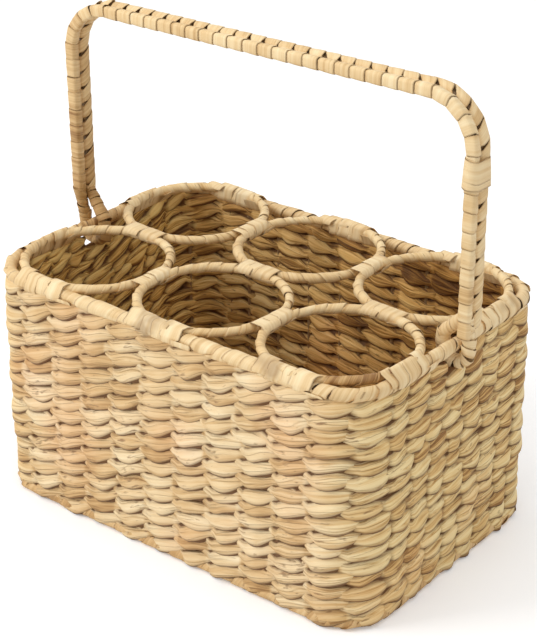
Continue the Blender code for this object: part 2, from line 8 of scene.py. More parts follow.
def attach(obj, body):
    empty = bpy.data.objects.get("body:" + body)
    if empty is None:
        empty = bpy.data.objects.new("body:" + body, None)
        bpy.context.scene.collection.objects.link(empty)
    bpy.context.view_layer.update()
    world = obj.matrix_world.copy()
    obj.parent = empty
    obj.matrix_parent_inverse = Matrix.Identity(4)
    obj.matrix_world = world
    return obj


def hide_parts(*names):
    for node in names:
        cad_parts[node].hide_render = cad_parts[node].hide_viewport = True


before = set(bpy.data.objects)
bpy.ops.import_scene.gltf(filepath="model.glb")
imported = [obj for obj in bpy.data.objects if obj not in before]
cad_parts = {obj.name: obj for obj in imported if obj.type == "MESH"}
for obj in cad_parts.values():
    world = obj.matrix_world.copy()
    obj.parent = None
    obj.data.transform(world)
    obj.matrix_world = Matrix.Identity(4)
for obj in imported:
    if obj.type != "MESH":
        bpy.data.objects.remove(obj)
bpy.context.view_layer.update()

# places shared by several pieces, in metres
basket = {
    "rimHeight": 0.1688,
    "ringHeight": 0.1733,
    "ringRadius": 0.050,
    "pitchLong": 0.1042,
    "pitchWide": 0.1040,
    "halfLength": 0.1565,
    "halfWidth": 0.1020,
    "cornerRadius": 0.030,
    "bottomHeight": 0.0046,
}
columnWords = ("left", "middle", "right")
rowWords = ("front", "back")


# node trees

def isVector(value):
    if isinstance(value, Field):
        return value.socket.type == "VECTOR"
    return isinstance(value, (tuple, Vector))


class Field:
    # a socket that can be added, multiplied and compared like a number
    def __init__(self, board, socket):
        self.board = board
        self.socket = socket

    def maths(self, operation, *values):
        slots = dict(enumerate((self,) + values))
        return self.board.add("ShaderNodeMath", {"operation": operation}, slots)

    def arrows(self, operation, *values, out=0):
        slots = dict(enumerate((self,) + values))
        return self.board.add("ShaderNodeVectorMath", {"operation": operation}, slots, out)

    def pair(self, operation, first, second):
        kind = "ShaderNodeVectorMath" if isVector(first) or isVector(second) else "ShaderNodeMath"
        return self.board.add(kind, {"operation": operation}, {0: first, 1: second})

    def __add__(self, other):
        return self.pair("ADD", self, other)

    def __radd__(self, other):
        return self.pair("ADD", other, self)

    def __sub__(self, other):
        return self.pair("SUBTRACT", self, other)

    def __rsub__(self, other):
        return self.pair("SUBTRACT", other, self)

    def __mul__(self, other):
        if isVector(self) and not isVector(other):
            return self.board.add("ShaderNodeVectorMath", {"operation": "SCALE"}, {0: self, "Scale": other})
        if isVector(other) and not isVector(self):
            return self.board.add("ShaderNodeVectorMath", {"operation": "SCALE"}, {0: other, "Scale": self})
        return self.pair("MULTIPLY", self, other)

    __rmul__ = __mul__

    def __truediv__(self, other):
        return self.pair("DIVIDE", self, other)

    def __rtruediv__(self, other):
        return self.pair("DIVIDE", other, self)

    def __neg__(self):
        return self * -1.0

    def __pow__(self, other):
        return self.pair("POWER", self, other)

    def __gt__(self, other):
        return self.pair("GREATER_THAN", self, other)

    def __lt__(self, other):
        return self.pair("LESS_THAN", self, other)

    def sin(self):
        return self.maths("SINE")

    def cos(self):
        return self.maths("COSINE")

    def floor(self):
        return self.maths("FLOOR")

    def size(self):
        return self.maths("ABSOLUTE")

    def sign(self):
        return self.maths("SIGN")

    def atMost(self, other):
        return self.maths("MINIMUM", other)

    def atLeast(self, other):
        return self.maths("MAXIMUM", other)

    def cross(self, other):
        return self.arrows("CROSS_PRODUCT", other)

    def unit(self):
        return self.arrows("NORMALIZE")

    def mixed(self, other, share):
        return self + (other - self) * share


class Board:
    # a node tree; add() takes a node's type, its settings and its socket values
    def __init__(self, tree):
        self.tree = tree

    def node(self, kind, settings=None, values=None):
        made = self.tree.nodes.new(kind)
        for key, value in (settings or {}).items():
            if key == "stops":
                self.setStops(made.color_ramp, value)
            else:
                setattr(made, key, value)
        for key, value in (values or {}).items():
            self.feed(made.inputs[key], value)
        return made

    def setStops(self, ramp, stops):
        while len(ramp.elements) < len(stops):
            ramp.elements.new(1.0)
        for element, (place, tone) in zip(ramp.elements, stops):
            element.position = place
            element.color = (*tone, 1.0)

    def feed(self, socket, value):
        if isinstance(value, Field):
            self.tree.links.new(value.socket, socket)
        else:
            socket.default_value = value

    def add(self, kind, settings=None, values=None, out=0):
        return Field(self, self.node(kind, settings, values).outputs[out])

    def combine(self, x, y, z):
        return self.add("ShaderNodeCombineXYZ", None, {0: x, 1: y, 2: z})

    def noise(self, vector, scale, detail=2.0, out=0, roughness=0.5):
        values = {"Vector": vector, "Scale": scale, "Detail": detail, "Roughness": roughness}
        return self.add("ShaderNodeTexNoise", None, values, out)

    def random(self, number):
        return self.add("ShaderNodeTexWhiteNoise", {"noise_dimensions": "1D"}, {"W": number})

    def store(self, geometry, name, value, kind="FLOAT"):
        settings = {"data_type": kind, "domain": "POINT"}
        made = self.node("GeometryNodeStoreNamedAttribute", settings, {"Geometry": geometry, "Name": name})
        slot = [s for s in made.inputs if s.name == "Value" and s.enabled][0]
        self.feed(slot, value)
        return Field(self, made.outputs[0])

    def stored(self, name, kind="FLOAT"):
        made = self.node("GeometryNodeInputNamedAttribute", {"data_type": kind}, {"Name": name})
        return Field(self, [s for s in made.outputs if s.name == "Attribute" and s.enabled][0])


def geometryTree(name, inputs):
    # starts a Geometry Nodes tree with named inputs; returns it with a field for every input
    tree = bpy.data.node_groups.new(name, "GeometryNodeTree")
    tree.interface.new_socket("Geometry", in_out="INPUT", socket_type="NodeSocketGeometry")
    for title, kind in inputs:
        tree.interface.new_socket(title, in_out="INPUT", socket_type="NodeSocket" + kind)
    tree.interface.new_socket("Geometry", in_out="OUTPUT", socket_type="NodeSocketGeometry")
    board = Board(tree)
    entry = tree.nodes.new("NodeGroupInput")
    fields = {socket.name: Field(board, socket) for socket in entry.outputs if socket.name}
    return board, fields


def closeTree(board, mesh, material):
    # every tree ends in real, painted geometry
    real = board.add("GeometryNodeRealizeInstances", None, {"Geometry": mesh})
    painted = board.add("GeometryNodeSetMaterial", None, {"Geometry": real, "Material": material})
    leave = board.tree.nodes.new("NodeGroupOutput")
    board.feed(leave.inputs[0], painted)
    return board.tree


def skinned(board, curve, profile):
    return board.add("GeometryNodeCurveToMesh", None,
                     {"Curve": curve, "Profile Curve": profile, "Fill Caps": True})


def profileLoop(board, sides):
    # ring of points that each know their share of the way round
    loop = board.add("GeometryNodeCurvePrimitiveCircle", {"mode": "RADIUS"}, {"Resolution": sides, "Radius": 0.001})
    index = board.add("GeometryNodeInputIndex")
    return board.store(loop, "around", index / sides)


def settled(work, keep):
    # plain mesh from an object with a tree, faces turned outwards, helper attributes dropped
    bpy.context.view_layer.update()
    graph = bpy.context.evaluated_depsgraph_get()
    mesh = bpy.data.meshes.new_from_object(work.evaluated_get(graph), preserve_all_data_layers=True, depsgraph=graph)
    for name in [a.name for a in mesh.attributes]:
        attribute = mesh.attributes.get(name)
        if attribute and not attribute.is_required and not attribute.is_internal and name not in keep:
            mesh.attributes.remove(attribute)
    shell = bmesh.new()
    shell.from_mesh(mesh)
    bmesh.ops.recalc_face_normals(shell, faces=shell.faces)
    shell.to_mesh(mesh)
    shell.free()
    mesh.shade_smooth()
    return mesh


keptAttributes = ("grain", "shade", "inner", "edge", "side", "material_index", "sharp_face", "sharp_edge")


groundGap = 0.0001


def grown(name, path, tree, values):
    # runs a tree on a path and keeps the result as a plain mesh object
    work = bpy.data.objects.new(name, path)
    bpy.context.scene.collection.objects.link(work)
    modifier = work.modifiers.new("tree", "NODES")
    modifier.node_group = tree
    for item in tree.interface.items_tree:
        if item.item_type == "SOCKET" and item.in_out == "INPUT" and item.name in values:
            modifier[item.identifier] = values[item.name]
    mesh = settled(work, keptAttributes)
    for vertex in mesh.vertices:
        # nothing dips under the ground
        vertex.co.z = max(vertex.co.z, groundGap)
    work.modifiers.clear()
    work.data = mesh
    mesh.name = name
    bpy.data.meshes.remove(path)
    return work


def pathMesh(points, closed, **attributes):
    # row of points joined by edges, with a number or two at every point
    mesh = bpy.data.meshes.new("path")
    edges = [(k, k + 1) for k in range(len(points) - 1)]
    if closed:
        edges.append((len(points) - 1, 0))
    mesh.from_pydata([tuple(p) for p in points], edges, [])
    for name, numbers in attributes.items():
        layer = mesh.attributes.new(name, "FLOAT", "POINT")
        layer.data.foreach_set("value", numbers)
    return mesh


def joined(name, parts):
    # several grown objects become one piece
    meshes = [part.data for part in parts]
    shell = bmesh.new()
    for mesh in meshes:
        shell.from_mesh(mesh)
    result = bpy.data.meshes.new(name)
    shell.to_mesh(result)
    shell.free()
    for material in meshes[0].materials:
        result.materials.append(material)
    result.shade_smooth()
    for part in parts:
        bpy.data.objects.remove(part, do_unlink=True)
    piece = bpy.data.objects.new(name, result)
    bpy.context.scene.collection.objects.link(piece)
    return piece


# finishes

def finish(name):
    material = bpy.data.materials.new(name)
    material.use_nodes = True
    board = Board(material.node_tree)
    shader = material.node_tree.nodes["Principled BSDF"]
    return material, board, shader


leafTones = {
    "outer": ((0.0, (0.34, 0.170, 0.055)), (0.22, (0.56, 0.335, 0.135)), (0.42, (0.71, 0.475, 0.225)),
              (0.62, (0.81, 0.590, 0.320)), (0.85, (0.88, 0.690, 0.415)), (1.0, (0.93, 0.760, 0.490))),
    # painted shade and bounce: darker, more saturated tones for the faces turned into the basket
    "inner": ((0.0, (0.16, 0.070, 0.016)), (0.35, (0.50, 0.280, 0.078)), (0.65, (0.82, 0.540, 0.200)),
              (1.0, (0.95, 0.720, 0.340))),
    # painted shade in the crevices and the lines under the leaves, also the leaves' browner edges
    "edge": (0.15, 0.066, 0.021, 1.0),
    "stain": (0.22, 0.095, 0.035, 1.0),
    # painted light: a yellower tint for the end walls
    "endWallLight": (1.0, 0.95, 0.75, 1.0),
    # painted shade: a darker, warmer tint for inside faces towards +x
    "rightInsideShade": (0.88, 0.76, 0.56, 1.0),
    "fibreScale": (30.0, 700.0, 700.0),
    "streakScale": (16.0, 300.0, 300.0),
    "foldScale": (15.0, 210.0, 210.0),
    "foldWidth": 0.028,
    "foldShade": 0.22,
    "roughness": 0.62,
    "bump": 0.8,
}


def leafFinish():
    # dried leaf strands: one tone per leaf, fibres along it, brown flecks; painted shade darkens the inside faces, the
    # crevices between leaves and the fold lines, and painted light tints the end walls
    material, board, shader = finish("dried leaf")
    grain = board.add("ShaderNodeAttribute", {"attribute_name": "grain"}, None, 1)
    shade = board.add("ShaderNodeAttribute", {"attribute_name": "shade"}, None, 2)
    inner = board.add("ShaderNodeAttribute", {"attribute_name": "inner"}, None, 2)
    edge = board.add("ShaderNodeAttribute", {"attribute_name": "edge"}, None, 2)
    place = board.add("ShaderNodeTexCoord", None, None, 3)
    fibres = board.noise(grain * leafTones["fibreScale"], 1.0, 3.0, 0, 0.65)
    streaks = board.noise(grain * leafTones["streakScale"], 1.0, 2.0)
    patches = board.noise(place, 42.0, 2.0)
    drift = board.noise(place, 7.0, 2.0)
    folds = board.noise(grain * leafTones["foldScale"], 1.0, 1.0)
    # fold lines are indented in the bump and painted darker as crease shade
    folded = 1.0 - ((folds - 0.5).size() / leafTones["foldWidth"]).atMost(1.0)
    side = board.add("ShaderNodeAttribute", {"attribute_name": "side"}, None, 2)
    east = place.arrows("DOT_PRODUCT", (1.0, 0.0, 0.0), out=1)
    # the tone adds painted light and shade to the leaf's own variation: inside faces darker and falling off towards +x
    # with stronger contrast, end walls lifted with stronger contrast, fold lines darker as crease shade
    tone = (shade * 0.50 + ((streaks - 0.5) * 0.6 + (fibres - 0.5) * 0.7) * (side * 1.4 + inner * 0.8 + 1.0)
            + (patches - 0.5) * 0.5
            + (drift - 0.5) * 0.3 + 0.33 + side * (1.0 - inner) * 0.11 - inner * (east * 1.5 + 0.08)
            - (shade < 0.1) * (side * 0.12 + 0.05) - folded * (side + 0.6) * leafTones["foldShade"])
    outer = board.add("ShaderNodeValToRGB", {"stops": leafTones["outer"]}, {"Fac": tone})
    # inside faces take the painted shade ramp
    shadedInsideTone = board.add("ShaderNodeValToRGB", {"stops": leafTones["inner"]}, {"Fac": tone})
    both = board.add("ShaderNodeMix", {"data_type": "RGBA"}, {0: inner, 6: outer, 7: shadedInsideTone}, 2)
    # the edge mix paints shade lines under the leaves and in the crevices, stronger on the end walls and inside, and
    # browns the leaf edges
    edged = board.add("ShaderNodeMix", {"data_type": "RGBA"},
                      {0: (edge * (side * 0.5 + inner * 0.2 + 1.75)).atMost(0.97), 6: both, 7: leafTones["edge"]}, 2)
    flecks = board.noise(grain * (120.0, 420.0, 420.0), 1.0, 4.0)
    fleckMask = board.add("ShaderNodeMapRange", None, {0: flecks + (patches - 0.5) * 0.5, 1: 0.64, 2: 0.76})
    marked = board.add("ShaderNodeMix", {"data_type": "RGBA"},
                       {0: fleckMask * 0.7, 6: edged, 7: leafTones["stain"]}, 2)
    warmth = board.add("ShaderNodeMapRange", None, {0: board.noise(place, 16.0, 1.0), 1: 0.5, 2: 0.75})
    pink = board.add("ShaderNodeMix", {"data_type": "RGBA", "blend_type": "MULTIPLY"},
                     {0: warmth * 0.75, 6: marked, 7: (1.0, 0.88, 0.84, 1.0)}, 2)
    # painted light: the end walls get a yellower tint
    endWallTint = board.add("ShaderNodeMix", {"data_type": "RGBA", "blend_type": "MULTIPLY"},
                      {0: side, 6: pink, 7: leafTones["endWallLight"]}, 2)
    # painted shade: inside faces towards +x get a darker, warmer tint
    insideShadeTint = board.add("ShaderNodeMix", {"data_type": "RGBA", "blend_type": "MULTIPLY"},
                       {0: inner * (east * 5.0 + 0.5).atLeast(0.0).atMost(1.0), 6: endWallTint, 7: leafTones["rightInsideShade"]}, 2)
    board.feed(shader.inputs["Base Color"], insideShadeTint)
    board.feed(shader.inputs["Roughness"], (fibres - 0.5) * 0.3 + leafTones["roughness"])
    raised = board.add("ShaderNodeBump", None,
                       {"Strength": leafTones["bump"], "Distance": 0.0010,
                        "Height": fibres * 0.8 + streaks - folded * 0.7}, 0)
    board.feed(shader.inputs["Normal"], raised)
    shader.inputs["Specular IOR Level"].default_value = 0.35
    return material


stripTones = {
    "wound": ((0.0, (0.30, 0.150, 0.050)), (0.2, (0.56, 0.345, 0.145)), (0.5, (0.76, 0.540, 0.280)),
              (0.8, (0.86, 0.670, 0.400)), (1.0, (0.92, 0.760, 0.500))),
    "dark": (0.20, 0.095, 0.035, 1.0),
    "edge": (0.36, 0.190, 0.075, 1.0),
    "edgeShare": 0.45,
    "roughness": 0.55,
    "bump": 0.3,
}


def stripFinish(name, darkness=0.0, leftShade=0.0, tint=(1.0, 1.0, 1.0), spots=()):
    # wound leaf strip: fibres along the strip, a few brown stains; painted shade darkens what lies far to the left, at
    # the left end
    # and a spot (centre, radius, strength) darkens what lies near one place
    material, board, shader = finish(name)
    grain = board.add("ShaderNodeAttribute", {"attribute_name": "grain"}, None, 1)
    shade = board.add("ShaderNodeAttribute", {"attribute_name": "shade"}, None, 2)
    place = board.add("ShaderNodeTexCoord", None, None, 3)
    fibres = board.noise(grain * (30.0, 800.0, 800.0), 1.0, 3.0, 0, 0.65)
    streaks = board.noise(grain * (14.0, 330.0, 330.0), 1.0, 2.0)
    patches = board.noise(place, 55.0, 2.0)
    # painted shade at the left end of the basket
    west = board.add("ShaderNodeMapRange", None, {0: place.arrows("DOT_PRODUCT", (-1.0, 0.0, 0.0), out=1), 1: 0.125, 2: 0.165})
    tone = (shade * 0.45 + (streaks - 0.5) * 0.9 + (fibres - 0.5) * 0.6 + (patches - 0.5) * 0.55
            + (0.42 - darkness) - west * leftShade)
    for centre, radius, strength in spots:
        away = (place - Vector(centre)).arrows("LENGTH", out=1)
        near = board.add("ShaderNodeMapRange", None, {0: away, 1: radius, 2: radius * 0.8})
        tone = tone - near * strength
    wound = board.add("ShaderNodeValToRGB", {"stops": stripTones["wound"]}, {"Fac": tone})
    stain = board.add("ShaderNodeMapRange", None, {0: board.noise(place, 24.0, 3.0), 1: 0.66, 2: 0.74})
    flecks = board.add("ShaderNodeMapRange", None, {0: board.noise(grain * (160.0, 500.0, 500.0), 1.0, 3.0), 1: 0.70, 2: 0.78})
    edge = board.add("ShaderNodeAttribute", {"attribute_name": "edge"}, None, 2)
    edged = board.add("ShaderNodeMix", {"data_type": "RGBA"}, {0: edge * stripTones["edgeShare"], 6: wound, 7: stripTones["edge"]}, 2)
    marked = board.add("ShaderNodeMix", {"data_type": "RGBA"},
                       {0: (stain * 0.5).atLeast(flecks * 0.65), 6: edged, 7: stripTones["dark"]}, 2)
    tinted = board.add("ShaderNodeMix", {"data_type": "RGBA", "blend_type": "MULTIPLY"},
                       {0: 1.0, 6: marked, 7: (*tint, 1.0)}, 2)
    board.feed(shader.inputs["Base Color"], tinted)
    board.feed(shader.inputs["Roughness"], (fibres - 0.5) * 0.3 + stripTones["roughness"])
    raised = board.add("ShaderNodeBump", None,
                       {"Strength": stripTones["bump"], "Distance": 0.0005, "Height": fibres + streaks * 0.5}, 0)
    board.feed(shader.inputs["Normal"], raised)
    shader.inputs["Specular IOR Level"].default_value = 0.4
    return material


def wireFinish():
    material, board, shader = finish("drawn wire")
    place = board.add("ShaderNodeTexCoord", None, None, 3)
    scale = board.noise(place, 180.0, 3.0)
    tone = board.add("ShaderNodeValToRGB", {"stops": ((0.3, (0.20, 0.115, 0.050)), (0.7, (0.38, 0.245, 0.120)))},
                     {"Fac": scale})
    board.feed(shader.inputs["Base Color"], tone)
    board.feed(shader.inputs["Roughness"], scale * 0.4 + 0.3)
    shader.inputs["Metallic"].default_value = 0.15
    return material


leaf = leafFinish()
# painted shade: the left-end term darkens rim, rings and most of all the strap's left leg, the rim's spot darkens the
# left handle notch, and the left eye's strip is painted darker and browner; the ring's spot darkens one place on the
# right front ring
strip = stripFinish("wound strip", 0.05, 0.06, (1.0, 0.99, 0.95), (((-0.1565, 0.0, 0.1688), 0.024, 0.40),))
ringStrip = stripFinish("ring strip", 0.06, 0.06, (1.0, 0.98, 0.91), (((0.1444, -0.0817, 0.1733), 0.027, 0.42),))
shadedStrip = stripFinish("shaded strip", 0.30, 0.0, (0.66, 0.56, 0.40))
strapStrip = stripFinish("strap strip", 0.03, 0.28, (1.0, 0.99, 0.95))
wire = wireFinish()
print("finishes ready")


# twined strands

strandInputs = (
    ("Courses", "Int"), ("First Course", "Float"), ("Course Pitch", "Float"), ("Stack Direction", "Vector"),
    ("Belly", "Float"), ("Reach", "Float"), ("Rise", "Float"), ("Leaf Half Height", "Float"),
    ("Leaf Half Depth", "Float"), ("Crossing Half Depth", "Float"), ("Crossing Height", "Float"),
    ("Tip Sharpness", "Float"), ("Shade Depth", "Float"), ("Lean", "Float"), ("Unevenness", "Float"),
    ("Crease Depth", "Float"), ("Side Calm", "Float"), ("Side Fullness", "Float"), ("Tip Lap", "Float"),
    ("Tip Taper", "Float"), ("Stray", "Float"), ("Inner Rise", "Float"), ("Inner Crossing", "Float"), ("Turn Place", "Float"), ("Dip", "Float"), ("Loop Leaves", "Float"), ("Course Number", "Float"), ("All Courses", "Float"),
    ("Sides", "Int"), ("Seed", "Float"), ("Material", "Material"),
)


def strandTree():
    # two strands per course swap sides between the stakes; each pass outside is one leaf
    board, put = geometryTree("twined strands", strandInputs)
    curve = board.add("GeometryNodeMeshToCurve", None, {"Mesh": put["Geometry"]})
    copies = board.node("GeometryNodeDuplicateElements", {"domain": "SPLINE"},
                        {"Geometry": curve, "Amount": put["Courses"] * 2.0})
    strands = board.store(Field(board, copies.outputs[0]), "strand", Field(board, copies.outputs[1]))
    number = board.stored("strand")
    ownCourse = (number / 2.0 + 0.01).floor()
    course = ownCourse + put["Course Number"]
    place = board.add("GeometryNodeInputPosition")
    tangent = board.add("GeometryNodeInputTangent")
    stack = put["Stack Direction"]
    outward = tangent.cross(stack).unit()
    side = outward.arrows("DOT_PRODUCT", (1.0, 0.0, 0.0), out=1).size()
    stray = board.noise(place + stack * (course * 0.83), 26.0, 1.0) - 0.5
    phase = (board.stored("phase") + (number - ownCourse * 2.0)
             + stray * put["Stray"] * (side * 0.6 + 0.4))
    turned = phase * math.pi
    wave = turned.cos()
    lift = (turned.sin() * 0.96).maths("ARCSINE") / math.asin(0.96)
    body = wave * wave
    leafNumber = (phase + 0.5).floor()
    leafName = leafNumber.maths("FLOORED_MODULO", put["Loop Leaves"]) + number * 137.0 + put["Seed"] * 17.3
    drawn = [board.random(leafName + 0.131 * k) - 0.5 for k in range(6)]
    # a leaf keeps its tone from where it comes out over its neighbour
    toneNumber = (phase + 0.5 - put["Tip Lap"] / math.pi).floor()
    toneName = toneNumber.maths("FLOORED_MODULO", put["Loop Leaves"]) + number * 137.0 + put["Seed"] * 17.3
    loose = put["Unevenness"]
    rise = put["Rise"] * (1.0 - side * put["Side Calm"])
    wobble = board.noise(place + stack * (course * 0.37), 9.0, 1.0) - 0.5
    ripple = board.noise(place + stack * (number * 0.61), 38.0, 1.0) - 0.5
    fall = (1.0 - (put["All Courses"] - 1.0 - course) / 4.5).atLeast(0.0)
    outerRise = lift * rise * (1.0 + drawn[0] * 0.5)
    east = place.arrows("DOT_PRODUCT", (1.0, 0.0, 0.0), out=1)
    way = ((put["Turn Place"] - east) * 50.0).atLeast(-0.45).atMost(1.0)
    innerRise = lift * put["Inner Rise"] * way * (1.0 + drawn[2] * 0.8)
    height = (put["First Course"] + course * put["Course Pitch"]
              + wobble * loose * 0.0032 + ripple * loose * 0.0016 + body * drawn[1] * loose * 0.0022
              - board.stored("dip") * fall * put["Dip"])
    bulge = ((course + 0.5) / put["All Courses"] * math.pi).sin()
    lap = lift * put["Tip Lap"]
    depth = ((wave + lap) * put["Reach"] * (1.0 + drawn[2] * 0.35 * loose) + put["Belly"] * bulge
             + body * drawn[3] * loose * 0.0011)
    centre = place + stack * height + outward * depth
    swell = ((phase + 0.07) * math.pi).cos().size() ** put["Tip Sharpness"]
    taper = board.stored("taper")
    squeeze = 1.0 - board.stored("dip") * fall * 0.25
    spread = (put["Crossing Height"] + side * put["Side Fullness"]).mixed(1.0, swell) * (1.0 + body * drawn[4] * loose * (side * 0.3 + 0.34)) * (1.0 - lift * put["Tip Taper"])
    halfHeight = put["Leaf Half Height"] * spread * taper * squeeze
    innerShare = put["Inner Crossing"].mixed(1.0, body.size() ** 0.40) / put["Crossing Height"].mixed(1.0, swell)
    halfDepth = put["Crossing Half Depth"].mixed(put["Leaf Half Depth"], body) * (1.0 + drawn[5] * loose * 0.25) * taper
    along = board.add("GeometryNodeSplineParameter", None, None, 1)
    rows = strands
    kept = (
        ("centre", centre, "FLOAT_VECTOR"), ("outward", outward, "FLOAT_VECTOR"), ("halfHeight", halfHeight, "FLOAT"),
        ("halfDepth", halfDepth, "FLOAT"), ("wave", wave, "FLOAT"), ("lap", lap, "FLOAT"), ("along", along, "FLOAT"),
        ("leanShare", drawn[0] * 0.9 + 1.0, "FLOAT"), ("outerRise", outerRise, "FLOAT"),
        ("innerRise", innerRise, "FLOAT"), ("innerShare", innerShare, "FLOAT"),
        ("shade", board.random(toneName + 0.77), "FLOAT"),
        ("name", toneName, "FLOAT"), ("side", side, "FLOAT"),
    )
    for name, value, kind in kept:
        rows = board.store(rows, name, value, kind)
    mesh = skinned(board, rows, profileLoop(board, put["Sides"]))
    angle = board.stored("around") * (2.0 * math.pi)
    across, out = angle.cos(), angle.sin()
    grain = board.combine(board.stored("along") + board.stored("strand") * 0.173, across * 0.0062, out * 0.0062)
    crease = board.noise(grain * (22.0, 330.0, 330.0) + board.combine(board.stored("name") * 0.31, 0.0, 0.0), 1.0, 2.0) - 0.5
    roundness = (out * -4.0).atLeast(0.0).atMost(1.0) * 0.10 + 0.75
    x = board.stored("halfDepth") * out.sign() * (out.size() ** roundness) + out * crease * put["Crease Depth"]
    facing = (out * 2.2 + 0.5).atLeast(0.0).atMost(1.0)
    z = board.stored("halfHeight") * across * (1.0 + crease * 0.12) * board.stored("innerShare").mixed(1.0, facing)
    lean = put["Lean"] * board.stored("leanShare") * board.stored("wave")
    proud = x - z * lean
    raised = board.stored("innerRise").mixed(board.stored("outerRise"), facing)
    offset = board.stored("outward", "FLOAT_VECTOR") * proud + put["Stack Direction"] * (z + x * lean + raised)
    moved = board.add("GeometryNodeSetPosition", None,
                      {"Geometry": mesh, "Position": board.stored("centre", "FLOAT_VECTOR") + offset})
    # painted crevice shade: darkest where the surface lies near the middle depth of the wall
    fromMiddle = (board.stored("wave") + board.stored("lap")) * put["Reach"] + proud
    creviceShade = (1.0 - fromMiddle.size() / (put["Shade Depth"] * (board.stored("side") * 0.45 + 1.0))).atLeast(0.0)
    inward = (out * -3.0).atLeast(0.0).atMost(1.0)
    sideways = board.stored("side")
    # leaf edges darken towards the rim of the section: partly the leaves' browner edges, partly painted shade lines
    # under each leaf
    rimmed = across.size() ** 9.0 * 0.55 + across.size() ** (4.6 - sideways * 1.2) * 0.45
    edged = board.store(moved, "edge", rimmed.atLeast(creviceShade))
    # inner marks the faces turned into the basket, which the finish paints in shade
    turnedIn = board.store(edged, "inner", inward)
    return closeTree(board, board.store(turnedIn, "grain", grain, "FLOAT_VECTOR"), put["Material"])


twined = strandTree()

weave = {
    "courses": 16,
    "lowest": 0.0086,
    "pitch": 0.01018,
    "stations": 12,
    "longLeaves": 10,
    "shortLeaves": 8,
    "cornerStake": 0.0135,
    "notchHalf": 0.0105,
    "values": {
        "Stack Direction": (0.0, 0.0, 1.0), "Belly": 0.0016, "Reach": 0.0014, "Rise": 0.0037,
        "Leaf Half Height": 0.0063, "Leaf Half Depth": 0.0029, "Crossing Half Depth": 0.0030,
        "Crossing Height": 0.53, "Tip Sharpness": 0.70, "Shade Depth": 0.0023, "Lean": 0.27, "Unevenness": 1.1,
        "Crease Depth": 0.0012, "Side Calm": 0.78, "Side Fullness": 0.22, "Tip Lap": -0.50, "Tip Taper": 0.10,
        "Stray": 1.3, "Inner Rise": 0.0032, "Inner Crossing": 0.42, "Turn Place": -0.085, "Dip": 0.0034, "Sides": 22, "Seed": 3.0,
    },
}


def outlinePoint(distance, inset=0.0):
    # point on the rounded rectangle, measured counter-clockwise from the middle of the right side
    radius = basket["cornerRadius"]
    flatX = basket["halfLength"] - radius
    flatY = basket["halfWidth"] - radius
    arc = radius * math.pi / 2
    parts = (flatY, arc, 2 * flatX, arc, 2 * flatY, arc, 2 * flatX, arc, flatY)
    distance %= sum(parts)
    number = 0
    while distance > parts[number] and number < len(parts) - 1:
        distance -= parts[number]
        number += 1
    heading = (number // 2) * math.pi / 2
    if number % 2:
        corner = number // 2
        angle = heading + distance / radius
        centre = Vector(((1, -1, -1, 1)[corner] * flatX, (1, 1, -1, -1)[corner] * flatY, 0.0))
        return centre + Vector((math.cos(angle), math.sin(angle), 0.0)) * (radius - inset)
    out = Vector((math.cos(heading), math.sin(heading), 0.0))
    along = Vector((-out.y, out.x, 0.0))
    starts = (0.0, 0.0, -flatX, 0.0, -flatY, 0.0, -flatX, 0.0, -flatY)
    reach = (basket["halfLength"], basket["halfWidth"])[(number // 2) % 2]
    return out * (reach - inset) + along * (starts[number] + distance)


def outlineLength():
    radius = basket["cornerRadius"]
    return 4 * (basket["halfLength"] + basket["halfWidth"] - 2 * radius + radius * math.pi / 2)


def stakeMarks():
    # distances of the stakes round the outline, from the middle of the right side
    arc = basket["cornerRadius"] * math.pi / 2
    shortHalf = basket["halfWidth"] - basket["cornerRadius"]
    longHalf = basket["halfLength"] - basket["cornerRadius"]
    marks = []
    corner = shortHalf + arc / 2
    for k in range(4):
        span = 2 * (longHalf, shortHalf)[k % 2] + arc - 2 * weave["cornerStake"]
        count = (weave["longLeaves"], weave["shortLeaves"])[k % 2]
        first = corner + weave["cornerStake"]
        marks += [first + span * n / count for n in range(count + 1)]
        corner += 2 * (longHalf, shortHalf)[k % 2] + arc
    return marks


def notchDip(point):
    # how much the courses give way under the rim at both handle ends
    if abs(point.x) < basket["halfLength"] - basket["cornerRadius"]:
        return 0.0
    share = (0.030 - abs(point.y)) / 0.018
    share = min(max(share, 0.0), 1.0)
    return share * share * (3 - 2 * share)


def wallPath():
    # stations round the outline; the phase counts stakes
    marks = stakeMarks()
    marks.append(marks[0] + outlineLength())
    points, phases = [], []
    for k in range(len(marks) - 1):
        for n in range(weave["stations"]):
            share = n / weave["stations"]
            points.append(outlinePoint(marks[k] + (marks[k + 1] - marks[k]) * share))
            phases.append(k + share)
    return points, phases


wallPoints, wallPhases = wallPath()
loopLeaves = float(2 * (weave["longLeaves"] + weave["shortLeaves"]) + 4)


def wallValues(first, count):
    return {
        **weave["values"], "Courses": count, "First Course": weave["lowest"], "Course Pitch": weave["pitch"],
        "Course Number": float(first), "All Courses": float(weave["courses"]), "Loop Leaves": loopLeaves,
        "Seed": weave["values"]["Seed"] + first, "Material": leaf,
    }


dips = [notchDip(p) for p in wallPoints]
wallPieces = []
for name, first, count in (("low_courses", 0, 4), ("middle_courses", 4, 4), ("upper_courses", 8, 4), ("high_courses", 12, 3)):
    path = pathMesh(wallPoints, True, phase=wallPhases, dip=dips, taper=[1.0] * len(wallPoints))
    wallPieces.append(grown(name, path, twined, wallValues(first, count)))

